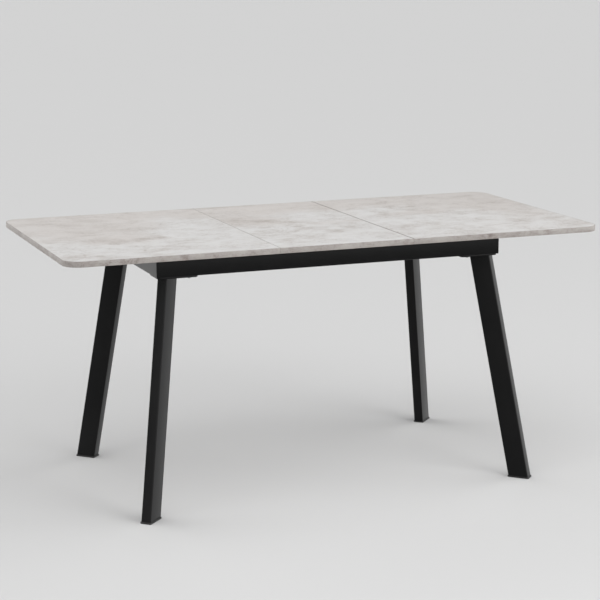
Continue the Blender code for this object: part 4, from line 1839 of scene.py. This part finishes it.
@dataclass(frozen=True)
class Glow:
    """A soft bright patch of the studio's walls or ceiling.

    The azimuth counts from +X toward +Y, and all angles are in degrees.
    """

    azimuth: float
    elevation: float
    strength: float
    spread: float = 40.0

    @property
    def direction(self) -> Vector:
        """The way from the table to the patch's middle.

        Returns:
            The direction, of length 1.
        """
        azimuth, elevation = math.radians(self.azimuth), math.radians(self.elevation)
        level = math.cos(elevation)
        return Vector((math.cos(azimuth) * level, math.sin(azimuth) * level, math.sin(elevation)))


@dataclass
class Studio:
    """A pale floor in a white room: walls of uneven brightness, a dim ceiling and one soft lamp."""

    floor_size: float = 160.0
    floor_colour: Colour = (0.62, 0.62, 0.62)
    floor_dimming: float = 0.995
    backdrop: float = 0.64
    glows: tuple[Glow, ...] = (
        Glow(0, 12, 2.1), Glow(90, 12, 1.4), Glow(135, 12, 3.3),
        Glow(225, 12, 0.5), Glow(270, 12, 1.1), Glow(315, 12, 1.5),
        Glow(0, 40, 0.65), Glow(180, 40, 0.75), Glow(225, 40, 1.0),
        Glow(270, 66, 0.65, 36.0), Glow(0, 90, 0.45, 36.0),
    )
    mirrored: Glow = Glow(68, 0, 0.60)
    mirrored_least: float = 0.27
    horizon: float = 0.03
    lamp: Glow = Glow(-60, 35, 46.0)
    lamp_away: float = 4.5
    lamp_size: float = 2.0

    def build(self) -> None:
        """Makes the floor, the room's light and the lamp."""
        self._floor()
        self._room()
        self._lamp()
        bpy.context.scene.view_settings.view_transform = "Standard"

    def _floor(self) -> None:
        """A wide plain floor, which glossy faces don't mirror."""
        form = Form()
        bmesh.ops.create_grid(form.mesh, x_segments=8, y_segments=8, size=self.floor_size / 2)
        finish = Finish("studio_floor")
        tone = finish.tree.noise(finish.point, 0.6, 2.0)
        darker = tuple(channel * self.floor_dimming for channel in self.floor_colour)
        colour = finish.tree.mix(tone, opaque(self.floor_colour), opaque(darker))
        finish.set(Base_Color=colour, Roughness=1.0, Specular_IOR_Level=0.0)
        floor = form.made("studio_floor", (finish.material,))
        floor.visible_glossy = False

    def _room(self) -> None:
        """Light from the walls and ceiling. What is seen of them directly is as plain as the floor.

        Below the horizon is what glossy faces mirror in place of the floor: it is darker in front
        and to the left, where the studio is not lit.
        """
        world = bpy.data.worlds.new("studio_room")
        bpy.context.scene.world = world
        world.use_nodes = True
        tree = Tree(world.node_tree)
        ray = tree.add("ShaderNodeTexCoord").outputs["Generated"]
        light: object = 0.0
        for glow in self.glows:
            facing = tree.vector("DOT_PRODUCT", ray, glow.direction, "Value")
            patch = tree.ramp(facing, math.cos(math.radians(glow.spread)), 1.0)
            light = tree.math("MULTIPLY_ADD", patch, glow.strength, light)
        toward = tree.ramp(tree.vector("DOT_PRODUCT", ray, self.mirrored.direction, "Value"), -0.5, 0.5)
        bounce = tree.math("MULTIPLY_ADD", toward, self.mirrored.strength, self.mirrored_least)
        height = tree.add("ShaderNodeSeparateXYZ", {0: ray}).outputs["Z"]
        above = tree.ramp(height, -self.horizon, self.horizon)
        light = tree.add("ShaderNodeMix", {0: above, 2: bounce, 3: light}).outputs[0]
        seen = tree.add("ShaderNodeLightPath").outputs["Is Camera Ray"]
        level = tree.add("ShaderNodeMix", {0: seen, 2: light, 3: self.backdrop}).outputs[0]
        shader = world.node_tree.nodes["Background"]
        tree.feed(shader.inputs["Color"], opaque((1.0, 1.0, 1.0)))
        tree.feed(shader.inputs["Strength"], level)

    def _lamp(self) -> None:
        """A large soft lamp in front, to the right."""
        data = bpy.data.lights.new("front_softbox", "AREA")
        data.energy, data.size = self.lamp.strength, self.lamp_size
        lamp = bpy.data.objects.new("front_softbox", data)
        bpy.context.scene.collection.objects.link(lamp)
        lamp.location = self.lamp.direction * self.lamp_away
        lamp.rotation_euler = self.lamp.direction.to_track_quat("Z", "Y").to_euler()


def main() -> None:
    """Builds the camera, the table and the studio."""
    logging.basicConfig(level=logging.INFO, format="%(name)s: %(message)s")
    View().build()
    palette = Palette()
    for assembly in (TableTop, UnderFrame, Legs, Slides, Timber, Synchroniser):
        assembly(palette).build()
    Studio().build()


if __name__ == "__main__":
    main()
